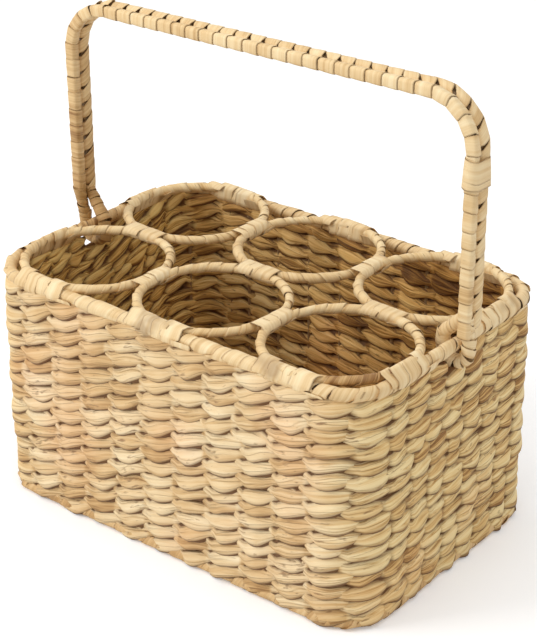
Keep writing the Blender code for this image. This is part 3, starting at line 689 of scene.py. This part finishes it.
# the top course stops at both notches, so it is two open rows
topRows = []
keep = [not (abs(p.y) < weave["notchHalf"] and abs(p.x) > basket["halfLength"] - basket["cornerRadius"]) for p in wallPoints]
size = len(wallPoints)
starts = [k for k in range(size) if keep[k] and not keep[k - 1]]
for number, start in enumerate(starts):
    run = []
    while keep[(start + len(run)) % size] and len(run) < size:
        run.append((start + len(run)) % size)
    tapers = [min(1.0, 0.55 + 0.25 * min(k, len(run) - 1 - k)) for k in range(len(run))]
    wraps = [loopLeaves if k < start else 0.0 for k in run]
    path = pathMesh([wallPoints[k] for k in run], False, phase=[wallPhases[k] + w for k, w in zip(run, wraps)],
                    dip=[dips[k] for k in run], taper=tapers)
    topRows.append(grown("top_row_" + str(number), path, twined, wallValues(weave["courses"] - 1, 1)))
wallPieces.append(joined("top_course", topRows))
for piece in wallPieces:
    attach(piece, "basket")
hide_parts("wall_weave")
print("walls woven")


# base panel

basePanel = {
    "rows": 19,
    "pitch": 0.0104,
    "leaves": 11,
    "stations": 8,
    "halfLength": 0.1530,
    "cornerX": 0.1270,
    "cornerY": 0.0700,
    "cornerRadius": 0.0265,
    "values": {
        "Stack Direction": (0.0, 1.0, 0.0), "Belly": 0.0, "Reach": 0.0014, "Rise": 0.0024,
        "Leaf Half Height": 0.0062, "Leaf Half Depth": 0.0019, "Crossing Half Depth": 0.0024,
        "Crossing Height": 0.46, "Tip Sharpness": 0.8, "Shade Depth": 0.0022, "Lean": 0.05, "Unevenness": 0.8,
        "Crease Depth": 0.0007, "Side Calm": 0.0, "Side Fullness": 0.0, "Tip Lap": -0.4,
        "Tip Taper": 0.1, "Stray": 0.5, "Inner Rise": 0.0024, "Inner Crossing": 0.46, "Turn Place": 10.0, "Dip": 0.0, "Sides": 10, "Seed": 41.0,
    },
}


def basePath():
    count = basePanel["leaves"] * basePanel["stations"]
    half = basePanel["halfLength"]
    points = [Vector((-half + 2 * half * k / count, 0.0, 0.0041)) for k in range(count + 1)]
    phases = [k / basePanel["stations"] for k in range(count + 1)]
    return pathMesh(points, False, phase=phases, dip=[0.0] * (count + 1), taper=[1.0] * (count + 1))


baseValues = {
    **basePanel["values"], "Courses": basePanel["rows"], "Course Pitch": basePanel["pitch"],
    "First Course": -basePanel["pitch"] * (basePanel["rows"] - 1) / 2, "Course Number": 0.0,
    "All Courses": float(basePanel["rows"]), "Loop Leaves": 400.0, "Material": leaf,
}
base = grown("base_strands", basePath(), twined, baseValues)
for vertex in base.data.vertices:
    # the panel's corners keep inside the rounded corners of the wall
    outward = Vector((abs(vertex.co.x) - basePanel["cornerX"], abs(vertex.co.y) - basePanel["cornerY"]))
    if min(outward) > 0 and outward.length > basePanel["cornerRadius"]:
        outward *= basePanel["cornerRadius"] / outward.length
        vertex.co.x = math.copysign(basePanel["cornerX"] + outward.x, vertex.co.x)
        vertex.co.y = math.copysign(basePanel["cornerY"] + outward.y, vertex.co.y)
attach(base, "basket")
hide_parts("base_weave")
print("base woven")


# wound strips

stripInputs = (
    ("Turns", "Int"), ("Steps", "Int"), ("Closed", "Float"), ("Plane Normal", "Vector"), ("Hand", "Float"),
    ("Radius A", "Float"), ("Side A", "Float"), ("Lift A", "Float"), ("Spread A", "Float"),
    ("Radius B", "Float"), ("Side B", "Float"), ("Lift B", "Float"), ("Spread B", "Float"),
    ("Strip Width", "Float"), ("Strip Thickness", "Float"), ("Unevenness", "Float"), ("Sides", "Int"),
    ("Seed", "Float"), ("Material", "Material"),
)


def stripTree():
    # one strip wound round one rod, or round two rods that lie side by side
    board, put = geometryTree("wound strip", stripInputs)
    curve = board.add("GeometryNodeMeshToCurve", None, {"Mesh": put["Geometry"]})
    count = put["Turns"] * put["Steps"] + (1.0 - put["Closed"])
    line = board.add("GeometryNodeResampleCurve", {"mode": "COUNT"}, {"Curve": curve, "Count": count})
    index = board.add("GeometryNodeInputIndex")
    along = board.add("GeometryNodeSplineParameter", None, None, 1)
    length = board.add("GeometryNodeSplineLength")
    turn = index / put["Steps"]
    place = board.add("GeometryNodeInputPosition")
    jitter = board.noise(place * 1.0 + board.combine(put["Seed"], 0.0, 0.0), 60.0, 1.0) - 0.5
    angle = (turn * 2.0 * math.pi + jitter * 1.1 * put["Unevenness"]) * put["Hand"]
    plane = put["Plane Normal"]
    tangent = board.add("GeometryNodeInputTangent")
    side = tangent.cross(plane).unit()
    across, up = angle.cos(), angle.sin()
    middle = along - length * 0.5
    square = middle * middle
    sideA = put["Side A"] + put["Spread A"] * square
    sideB = put["Side B"] + put["Spread B"] * square
    gainA = across * sideA + up * put["Lift A"] + put["Radius A"]
    gainB = across * sideB + up * put["Lift B"] + put["Radius B"]
    pick = gainA > gainB
    offSide = sideB.mixed(sideA, pick)
    offLift = put["Lift B"].mixed(put["Lift A"], pick)
    radius = put["Radius B"].mixed(put["Radius A"], pick)
    lump = board.noise(place + board.combine(0.0, put["Seed"] * 1.7, 0.0), 120.0, 1.0) - 0.5
    swelling = board.noise(place + board.combine(put["Seed"] * 0.7, 0.0, 0.0), 28.0, 1.0) - 0.5
    turnName = turn.floor() + put["Seed"] * 31.0
    kept = (
        ("centre", place + side * offSide + plane * offLift, "FLOAT_VECTOR"),
        ("radial", side * across + plane * up, "FLOAT_VECTOR"), ("axis", tangent, "FLOAT_VECTOR"),
        ("reach", radius + (lump * 0.0011 + swelling * 0.0018) * put["Unevenness"], "FLOAT"),
        ("arc", index * (put["Radius A"] * 2.0 * math.pi / put["Steps"]), "FLOAT"),
        ("slope", put["Strip Thickness"] * put["Turns"] / length, "FLOAT"),
        ("turnDraw", board.random(turnName), "FLOAT"),
        ("shade", board.random(turnName + 0.41) * 0.45
         + board.noise(board.combine(turn * 0.21 + put["Seed"], 0.0, 0.0), 1.0, 1.0) * 0.55, "FLOAT"),
    )
    rows = line
    for name, value, kind in kept:
        rows = board.store(rows, name, value, kind)
    mesh = skinned(board, rows, profileLoop(board, put["Sides"]))
    around = board.stored("around") * (2.0 * math.pi)
    flat, thick = around.cos(), around.sin()
    half = put["Strip Width"] * 0.5
    fray = board.noise(board.combine(board.stored("arc") * 90.0, flat.sign() * 3.0, put["Seed"]), 1.0, 2.0) - 0.5
    y = flat.sign() * (flat.size() ** 0.55) * half * (1.0 + (fray * 0.4 + (board.stored("turnDraw") - 0.5) * 0.5) * put["Unevenness"])
    crease = board.noise(board.combine(board.stored("arc") * 35.0, y * 650.0, put["Seed"]), 1.0, 2.0) - 0.5
    x = ((thick * 0.5 + 0.5) * put["Strip Thickness"] + board.stored("slope") * (half - y)
         + thick.atLeast(0.0) * crease * 0.0005 * put["Unevenness"])
    offset = board.stored("radial", "FLOAT_VECTOR") * (board.stored("reach") + x) + board.stored("axis", "FLOAT_VECTOR") * y
    moved = board.add("GeometryNodeSetPosition", None,
                      {"Geometry": mesh, "Position": board.stored("centre", "FLOAT_VECTOR") + offset})
    grain = board.combine(board.stored("arc"), y, x)
    edged = board.store(moved, "edge", flat.size() ** 9.0)
    return closeTree(board, board.store(edged, "grain", grain, "FLOAT_VECTOR"), put["Material"])


wound = stripTree()


def stripValues(**changes):
    # plain round rod with a level path, unless the caller says otherwise
    values = {
        "Turns": 100, "Steps": 16, "Closed": 1.0, "Plane Normal": (0.0, 0.0, 1.0), "Hand": 1.0,
        "Radius A": 0.0042, "Side A": 0.0, "Lift A": 0.0, "Spread A": 0.0,
        "Radius B": 0.0, "Side B": 0.0, "Lift B": 0.0, "Spread B": 0.0,
        "Strip Width": 0.011, "Strip Thickness": 0.0005, "Unevenness": 1.0, "Sides": 8, "Seed": 1.0,
        "Material": strip,
    }
    values.update(changes)
    return values


def outlinePath(height, step=0.004):
    count = int(outlineLength() / step)
    points = [outlinePoint(outlineLength() * k / count) for k in range(count)]
    for p in points:
        p.z = height
    return pathMesh(points, True)


def placed(piece, body, slot, *nodes):
    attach(piece, body)
    if nodes:
        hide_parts(*nodes)
    return piece


rimWinding = {"turns": 76, "radius": 0.0035, "width": 0.0180, "thickness": 0.0006}
rim = grown("rim_winding", outlinePath(basket["rimHeight"]), wound, stripValues(
    Turns=rimWinding["turns"], Seed=5.0, Unevenness=1.5, **{"Radius A": rimWinding["radius"], "Strip Width": rimWinding["width"],
                                            "Strip Thickness": rimWinding["thickness"]}))
placed(rim, "basket", "strip", "rim_wrap")

bottomStrip = stripFinish("bottom strip", 0.20, 0.0, (0.88, 0.80, 0.68))
bottomWinding = {"turns": 76, "radius": 0.0032, "width": 0.0180, "thickness": 0.0006}
bottom = grown("bottom_winding", outlinePath(basket["bottomHeight"]), wound, stripValues(
    Turns=bottomWinding["turns"], Seed=9.0, Material=bottomStrip, **{"Radius A": bottomWinding["radius"],
                                               "Strip Width": bottomWinding["width"],
                                               "Strip Thickness": bottomWinding["thickness"]}))
placed(bottom, "basket", "strip", "bottom_wrap")
print("rim and bottom rods wound")

ringWinding = {"turns": 31, "radius": 0.0023, "width": 0.0140, "thickness": 0.0005}
for column, columnWord in enumerate(columnWords):
    for row, rowWord in enumerate(rowWords):
        centre = Vector(((column - 1) * basket["pitchLong"], (row - 0.5) * basket["pitchWide"], basket["ringHeight"]))
        points = [centre + Vector((math.cos(a), math.sin(a), 0.0)) * basket["ringRadius"]
                  for a in [2 * math.pi * k / 90 for k in range(90)]]
        ring = grown("ring_winding_" + columnWord + "_" + rowWord, pathMesh(points, True), wound, stripValues(
            Turns=ringWinding["turns"], Seed=20.0 + column * 2 + row, Hand=(1.0, -1.0)[row], Material=ringStrip,
            **{"Radius A": ringWinding["radius"], "Strip Width": ringWinding["width"],
               "Strip Thickness": ringWinding["thickness"]}))
        placed(ring, "basket", "strip", "ring_wrap_" + columnWord + "_" + rowWord)
print("rings wound")

joints = {
    "ringLength": 0.024,
    "rimLength": 0.040,
    "ringTurns": 3,
    "rimTurns": 4,
    "steps": 32,
    "ringRadius": 0.0034,
    "rimRadius": 0.0049,
    "width": 0.0145,
    "thickness": 0.0004,
}


def jointPath(centre, along, length):
    return pathMesh([centre + along * (length * (k / 12 - 0.5)) for k in range(13)], False)


def wrapJoint(name, centre, along, length, turns, seed, **sides):
    joint = grown(name, jointPath(centre, along, length), wound, stripValues(
        Turns=turns, Steps=joints["steps"], Closed=0.0, Seed=seed, Unevenness=1.5,
        **{"Strip Width": joints["width"], "Strip Thickness": joints["thickness"]}, **sides))
    return joint


curl = 1 / (2 * basket["ringRadius"])
halfGapLong = basket["pitchLong"] / 2 - basket["ringRadius"]
halfGapWide = basket["pitchWide"] / 2 - basket["ringRadius"]
seed = 40.0
for rowWord, rowSign in (("front", -1), ("back", 1)):
    for k, pair in ((-1, "left_middle"), (1, "middle_right")):
        seed += 1.0
        centre = Vector((k * basket["pitchLong"] / 2, rowSign * basket["pitchWide"] / 2, basket["ringHeight"]))
        joint = wrapJoint("ring_joint_" + pair + "_" + rowWord, centre, Vector((0, 1, 0)), joints["ringLength"],
                          joints["ringTurns"], seed, **{
                              "Radius A": joints["ringRadius"], "Side A": halfGapLong, "Spread A": curl,
                              "Radius B": joints["ringRadius"], "Side B": -halfGapLong, "Spread B": -curl})
        placed(joint, "basket", "strip", "ring_lashing_" + pair + "_" + rowWord)
for k, word in ((-1, "left"), (0, "middle"), (1, "right")):
    seed += 1.0
    centre = Vector((k * basket["pitchLong"], 0.0, basket["ringHeight"]))
    joint = wrapJoint("ring_joint_" + word + "_front_back", centre, Vector((1, 0, 0)), joints["ringLength"],
                      joints["ringTurns"], seed, **{
                          "Radius A": joints["ringRadius"], "Side A": halfGapWide, "Spread A": curl,
                          "Radius B": joints["ringRadius"], "Side B": -halfGapWide, "Spread B": -curl})
    placed(joint, "basket", "strip", "ring_lashing_" + word + "_front_back")

ringLift = basket["ringHeight"] - basket["rimHeight"]


def rimJoint(name, node, centre, along, inward, seed):
    # inward is the side, seen along the path, on which the ring lies
    joint = wrapJoint(name, centre, along, joints["rimLength"], joints["rimTurns"], seed, **{
        "Radius A": joints["rimRadius"], "Side A": 0.0, "Lift A": 0.0, "Spread A": 0.0,
        "Radius B": joints["ringRadius"], "Side B": inward[0], "Lift B": ringLift, "Spread B": inward[1]})
    placed(joint, "basket", "strip", node)


for sign, word in ((-1, "left"), (1, "right")):
    for rowWord, rowSign in (("front", -1), ("back", 1)):
        seed += 1.0
        centre = Vector((sign * basket["halfLength"], rowSign * basket["pitchWide"] / 2, basket["rimHeight"]))
        shift = basket["halfLength"] - basket["pitchLong"] - basket["ringRadius"]
        rimJoint("rim_joint_" + word + "_side_" + rowWord, "rim_lashing_" + word + "_side_" + rowWord,
                 centre, Vector((0, 1, 0)), (-sign * shift, -sign * curl), seed)
for rowWord, rowSign in (("front", -1), ("back", 1)):
    for k, word in ((-1, "left"), (0, "middle"), (1, "right")):
        seed += 1.0
        centre = Vector((k * basket["pitchLong"], rowSign * basket["halfWidth"], basket["rimHeight"]))
        rimJoint("rim_joint_" + rowWord + "_" + word, "rim_lashing_" + rowWord + "_" + word,
                 centre, Vector((1, 0, 0)), (0.0, rowSign * curl), seed)
print("joints wound")


# handle

handle = {
    "barHeight": 0.3329,
    "legOffset": 0.1656,
    "bend": 0.034,
    "rodHalfGap": 0.0045,
    "eyeTop": 0.0260,
    "lowPlay": 0.0027,
    "eyeTurn": 0.0091,
    "eyeRadius": 0.0033,
    "turns": 49,
    "steps": 36,
    "stripWidth": 0.0136,
    "stripThickness": 0.0007,
    "halfWide": 0.0083,
    "halfThick": 0.0040,
    "slant": -0.85,
    "pinch": 0.36,
    "edgeRise": 0.30,
    "lowRight": 0.0125,
    "lowLeft": 0.0230,
    "bandHeight": 0.1183,
    "bandPath": 0.0070,
    "bandTurns": 2,
    "bandWidth": 0.0140,
}

crossedInputs = (
    ("Turns", "Int"), ("Steps", "Int"), ("Half Wide", "Float"), ("Half Thick", "Float"), ("Strip Width", "Float"),
    ("Strip Thickness", "Float"), ("Slant", "Float"), ("Pinch", "Float"), ("Edge Rise", "Float"),
    ("Half Span", "Float"), ("Unevenness", "Float"), ("Sides", "Int"), ("Seed", "Float"),
    ("Material", "Material"),
)


def crossedTree():
    # figure-eight winding round two parallel rods; the strips cross between the rods
    board, put = geometryTree("crossed strip", crossedInputs)
    curve = board.add("GeometryNodeMeshToCurve", None, {"Mesh": put["Geometry"]})
    line = board.add("GeometryNodeResampleCurve", {"mode": "COUNT"},
                     {"Curve": curve, "Count": put["Turns"] * put["Steps"] + 1.0})
    index = board.add("GeometryNodeInputIndex")
    turn = index / put["Steps"]
    place = board.add("GeometryNodeInputPosition")
    jitter = board.noise(place, 70.0, 1.0) - 0.5
    angle = turn * 2.0 * math.pi + jitter * 0.5 * put["Unevenness"]
    tangent = board.add("GeometryNodeInputTangent")
    plane = board.combine(0.0, 1.0, 0.0)
    face = tangent.cross(plane).unit()
    swing, double = angle.sin(), (angle * 2.0).sin()
    pitch = board.add("GeometryNodeSplineLength") / put["Turns"]
    drawnTurn = board.random((turn * 2.0 + 0.25).floor() * 1.7 + put["Seed"]) - 0.5
    east = (place.arrows("DOT_PRODUCT", (1.0, 0.0, 0.0), out=1) / put["Half Span"]).atLeast(-1.0).atMost(1.0)
    shift = (angle.cos() * put["Slant"] / (2.0 * math.pi) + drawnTurn * 0.10 * put["Unevenness"]
             - swing.atLeast(0.0) * east * put["Edge Rise"]) * pitch
    wide = swing * put["Half Wide"]
    thin = double.sign() * (double.size() ** 0.42) * put["Half Thick"] * -1.0
    centre = place + plane * wide + face * thin + tangent * shift
    runWide = angle.cos() * put["Half Wide"]
    runThin = (angle * 2.0).cos() * -0.9 * put["Half Thick"] * (double.size().atLeast(0.2) ** -0.58)
    lobe = (swing * 3.0).atLeast(-1.0).atMost(1.0)
    normal = (face * runWide - plane * runThin).unit() * lobe.sign()
    narrow = 1.0 - put["Pinch"] * ((1.0 - swing.size()) ** 2.0) * (swing > 0.0) * (drawnTurn + 1.0)
    turnName = (turn * 2.0).floor() + put["Seed"] * 31.0
    kept = (
        ("centre", centre, "FLOAT_VECTOR"), ("radial", normal, "FLOAT_VECTOR"), ("axis", tangent, "FLOAT_VECTOR"),
        ("arc", index * (put["Half Wide"] * 5.0 / put["Steps"]), "FLOAT"), ("narrow", narrow, "FLOAT"),
        ("shade", board.random(turnName) * 0.6
         + board.noise(board.combine(turn * 0.17 + put["Seed"], 0.0, 0.0), 1.0, 1.0) * 0.4, "FLOAT"),
    )
    rows = line
    for name, value, kind in kept:
        rows = board.store(rows, name, value, kind)
    mesh = skinned(board, rows, profileLoop(board, put["Sides"]))
    around = board.stored("around") * (2.0 * math.pi)
    flat, thick = around.cos(), around.sin()
    half = put["Strip Width"] * 0.5 * board.stored("narrow")
    fray = board.noise(board.combine(board.stored("arc") * 80.0, flat.sign() * 3.0, put["Seed"]), 1.0, 2.0) - 0.5
    y = flat.sign() * (flat.size() ** 0.6) * half * (1.0 + fray * 0.3 * put["Unevenness"])
    crease = board.noise(board.combine(board.stored("arc") * 35.0, y * 600.0, put["Seed"]), 1.0, 2.0) - 0.5
    x = thick * 0.5 * put["Strip Thickness"] - y * 0.045 + crease * 0.0006 * put["Unevenness"]
    offset = board.stored("radial", "FLOAT_VECTOR") * x + board.stored("axis", "FLOAT_VECTOR") * y
    moved = board.add("GeometryNodeSetPosition", None,
                      {"Geometry": mesh, "Position": board.stored("centre", "FLOAT_VECTOR") + offset})
    grain = board.combine(board.stored("arc"), y, x)
    edged = board.store(moved, "edge", flat.size() ** 9.0)
    return closeTree(board, board.store(edged, "grain", grain, "FLOAT_VECTOR"), put["Material"])


crossed = crossedTree()


def handleLine():
    # middle line of the strap from the left leg over the bar to the right leg
    reach, top, bend = handle["legOffset"], handle["barHeight"], handle["bend"]
    lowLeft, lowRight = basket["rimHeight"] + handle["lowLeft"], basket["rimHeight"] + handle["lowRight"]
    points = [Vector((-reach, 0.0, lowLeft + (top - bend - lowLeft) * k / 24)) for k in range(24)]
    for k in range(17):
        angle = math.pi / 2 * k / 16
        points.append(Vector((-reach + bend - bend * math.cos(angle), 0.0, top - bend + bend * math.sin(angle))))
    points += [Vector((-reach + bend + 2 * (reach - bend) * k / 40, 0.0, top)) for k in range(1, 20)]
    mirrored = [Vector((-p.x, 0.0, p.z)) for p in points[:23:-1]]
    mirrored += [Vector((reach, 0.0, lowRight + (top - bend - lowRight) * k / 24)) for k in range(23, -1, -1)]
    return points + [Vector((0.0, 0.0, top))] + mirrored


strap = grown("handle_winding", pathMesh(handleLine(), False), crossed, {
    "Turns": handle["turns"], "Steps": handle["steps"], "Half Wide": handle["halfWide"],
    "Half Thick": handle["halfThick"], "Strip Width": handle["stripWidth"],
    "Strip Thickness": handle["stripThickness"], "Slant": handle["slant"], "Pinch": handle["pinch"],
    "Edge Rise": handle["edgeRise"], "Half Span": handle["legOffset"],
    "Unevenness": 1.0, "Sides": 8, "Seed": 2.0, "Material": strapStrip})
placed(strap, "handle", "strip", "handle_wrap")

bandPoints = [Vector((handle["legOffset"], 0.0, basket["rimHeight"] + handle["bandHeight"]
                      + handle["bandPath"] * (k / 10 - 0.5))) for k in range(11)]
band = grown("handle_band_winding", pathMesh(bandPoints, False), wound, stripValues(
    Turns=handle["bandTurns"], Steps=44, Closed=0.0, Seed=77.0, **{
        "Plane Normal": (0.0, 1.0, 0.0), "Radius A": 0.0049, "Lift A": 0.0046, "Radius B": 0.0047, "Lift B": -0.0050,
        "Strip Width": handle["bandWidth"], "Strip Thickness": 0.00025}))
placed(band, "handle", "strip", "handle_band")


def eyeLine(sign):
    # wire line of one eye: down outside the rim, under it and up inside to the strap
    reach, low, turn, gap = handle["legOffset"], -handle["lowPlay"], handle["eyeTurn"], handle["rodHalfGap"]
    top, tuck = handle["eyeTop"], handle["eyeRadius"]
    inner = basket["halfLength"] - turn
    points = [Vector((reach, -gap, top)), Vector((reach, -gap, top - tuck / 2)), Vector((reach, 0.0, tuck)),
              Vector((reach, 0.0, low))]
    for k in range(1, 12):
        angle = math.pi * k / 12
        points.append(Vector((basket["halfLength"] + turn * math.cos(angle), 0.0, low - turn * math.sin(angle))))
    points += [Vector((inner, 0.0, low)), Vector((inner, 0.0, 2 * handle["lowPlay"])),
               Vector((reach, gap, top - tuck / 2)), Vector((reach, gap, top))]
    return [Vector((sign * p.x, p.y, p.z + basket["rimHeight"])) for p in points]


eyeWinding = {"turns": 16, "steps": 20, "shift": 0.0004, "thickness": 0.0006}
eyeLooks = (
    # the left eye takes the strip painted darker and browner as shade
    {"sign": -1, "word": "left", "finish": shadedStrip, "looseness": 1.7, "radius": 0.0034, "width": 0.0090},
    {"sign": 1, "word": "right", "finish": strip, "looseness": 1.8, "radius": 0.0033, "width": 0.0086},
)
for look in eyeLooks:
    sign = look["sign"]
    eye = grown("eye_winding_" + look["word"], pathMesh(eyeLine(sign), False), wound, stripValues(
        Turns=eyeWinding["turns"], Steps=eyeWinding["steps"], Closed=0.0, Seed=60.0 + sign,
        Unevenness=look["looseness"], Material=look["finish"], **{
            "Plane Normal": (0.0, 1.0, 0.0), "Radius A": look["radius"], "Side A": sign * eyeWinding["shift"],
            "Strip Width": look["width"], "Strip Thickness": eyeWinding["thickness"]}))
    placed(eye, "handle", "strip", "eye_wrap_" + look["word"])
print("handle wound")

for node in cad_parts:
    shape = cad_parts[node]
    if node.startswith("ring_rod") or node in ("wire_frame", "handle_rod"):
        shape.data.materials.clear()
        shape.data.materials.append(wire)


# camera, floor and light

view = {
    "azimuth": 37.596,
    "elevation": 25.884,
    "roll": 0.243,
    "distance": 1.1996,
    "sideways": 0.0264,
    "upwards": -0.0244,
    "focalPixels": 1767.35,
    "centrePixel": (301.66, 308.78),
    "frame": (537, 640),
}


def photoCamera():
    turn, rise, roll = (math.radians(view[k]) for k in ("azimuth", "elevation", "roll"))
    back = Vector((math.sin(turn) * math.cos(rise), -math.cos(turn) * math.cos(rise), math.sin(rise)))
    level = Vector((math.cos(turn), math.sin(turn), 0.0))
    upright = back.cross(level)
    right = level * math.cos(roll) + upright * math.sin(roll)
    upright = upright * math.cos(roll) - level * math.sin(roll)
    place = back * view["distance"] + right * view["sideways"] + upright * view["upwards"]
    place.z += basket["ringHeight"]
    lens = bpy.data.cameras.new("camera")
    camera = bpy.data.objects.new("camera", lens)
    bpy.context.scene.collection.objects.link(camera)
    camera.matrix_world = Matrix((
        (right.x, upright.x, back.x, place.x),
        (right.y, upright.y, back.y, place.y),
        (right.z, upright.z, back.z, place.z),
        (0, 0, 0, 1)))
    wide, high = view["frame"]
    lens.lens = view["focalPixels"] / high * lens.sensor_width
    lens.shift_x = (wide / 2 - view["centrePixel"][0]) / high
    lens.shift_y = (view["centrePixel"][1] - high / 2) / high
    lens.clip_start = 0.01
    lens.clip_end = 50.0
    bpy.context.scene.camera = camera


def lamp(name, place, aim, size, power):
    light = bpy.data.lights.new(name, "AREA")
    light.size = size
    light.energy = power
    shape = bpy.data.objects.new(name, light)
    shape.location = place
    shape.rotation_mode = "QUATERNION"
    shape.rotation_quaternion = (Vector(aim) - Vector(place)).to_track_quat("-Z", "Y")
    bpy.context.scene.collection.objects.link(shape)


studioLight = {
    "world": 0.68,
    "floorLift": 0.2,
    "key": {"place": (-1.4, -1.5, 1.6), "size": 1.1, "power": 27.0},
    "fill": {"place": (0.3, -0.2, 2.2), "size": 1.2, "power": 9.0},
}


def studio():
    shell = bmesh.new()
    bmesh.ops.create_grid(shell, x_segments=2, y_segments=2, size=6.0)
    mesh = bpy.data.meshes.new("floor")
    shell.to_mesh(mesh)
    shell.free()
    material, board, shader = finish("floor")
    shader.inputs["Base Color"].default_value = (0.93, 0.93, 0.93, 1.0)
    shader.inputs["Roughness"].default_value = 0.9
    leave = material.node_tree.nodes["Material Output"]
    path = board.node("ShaderNodeLightPath")
    glow = board.add("ShaderNodeEmission", None, {"Color": (1, 1, 1, 1), "Strength": Field(board, path.outputs[0]) * studioLight["floorLift"]})
    lifted = board.add("ShaderNodeAddShader", None, {0: Field(board, shader.outputs[0]), 1: glow})
    board.feed(leave.inputs["Surface"], lifted)
    mesh.materials.append(material)
    floor = bpy.data.objects.new("floor", mesh)
    bpy.context.scene.collection.objects.link(floor)
    world = bpy.data.worlds.new("studio")
    bpy.context.scene.world = world
    world.use_nodes = True
    board = Board(world.node_tree)
    sky = world.node_tree.nodes["Background"]
    path = board.node("ShaderNodeLightPath")
    seen = Field(board, path.outputs["Is Camera Ray"]).atLeast(Field(board, path.outputs["Is Glossy Ray"]))
    seen = seen.atLeast(Field(board, path.outputs["Is Transmission Ray"]))
    board.feed(sky.inputs["Strength"], seen * (1.0 - studioLight["world"]) + studioLight["world"])
    sky.inputs["Color"].default_value = (1.0, 1.0, 1.0, 1.0)
    for name in ("key", "fill"):
        one = studioLight[name]
        lamp(name, one["place"], (0, 0, 0.12), one["size"], one["power"])


photoCamera()
studio()
bpy.context.scene.view_settings.view_transform = "Standard"
print("camera and light set")
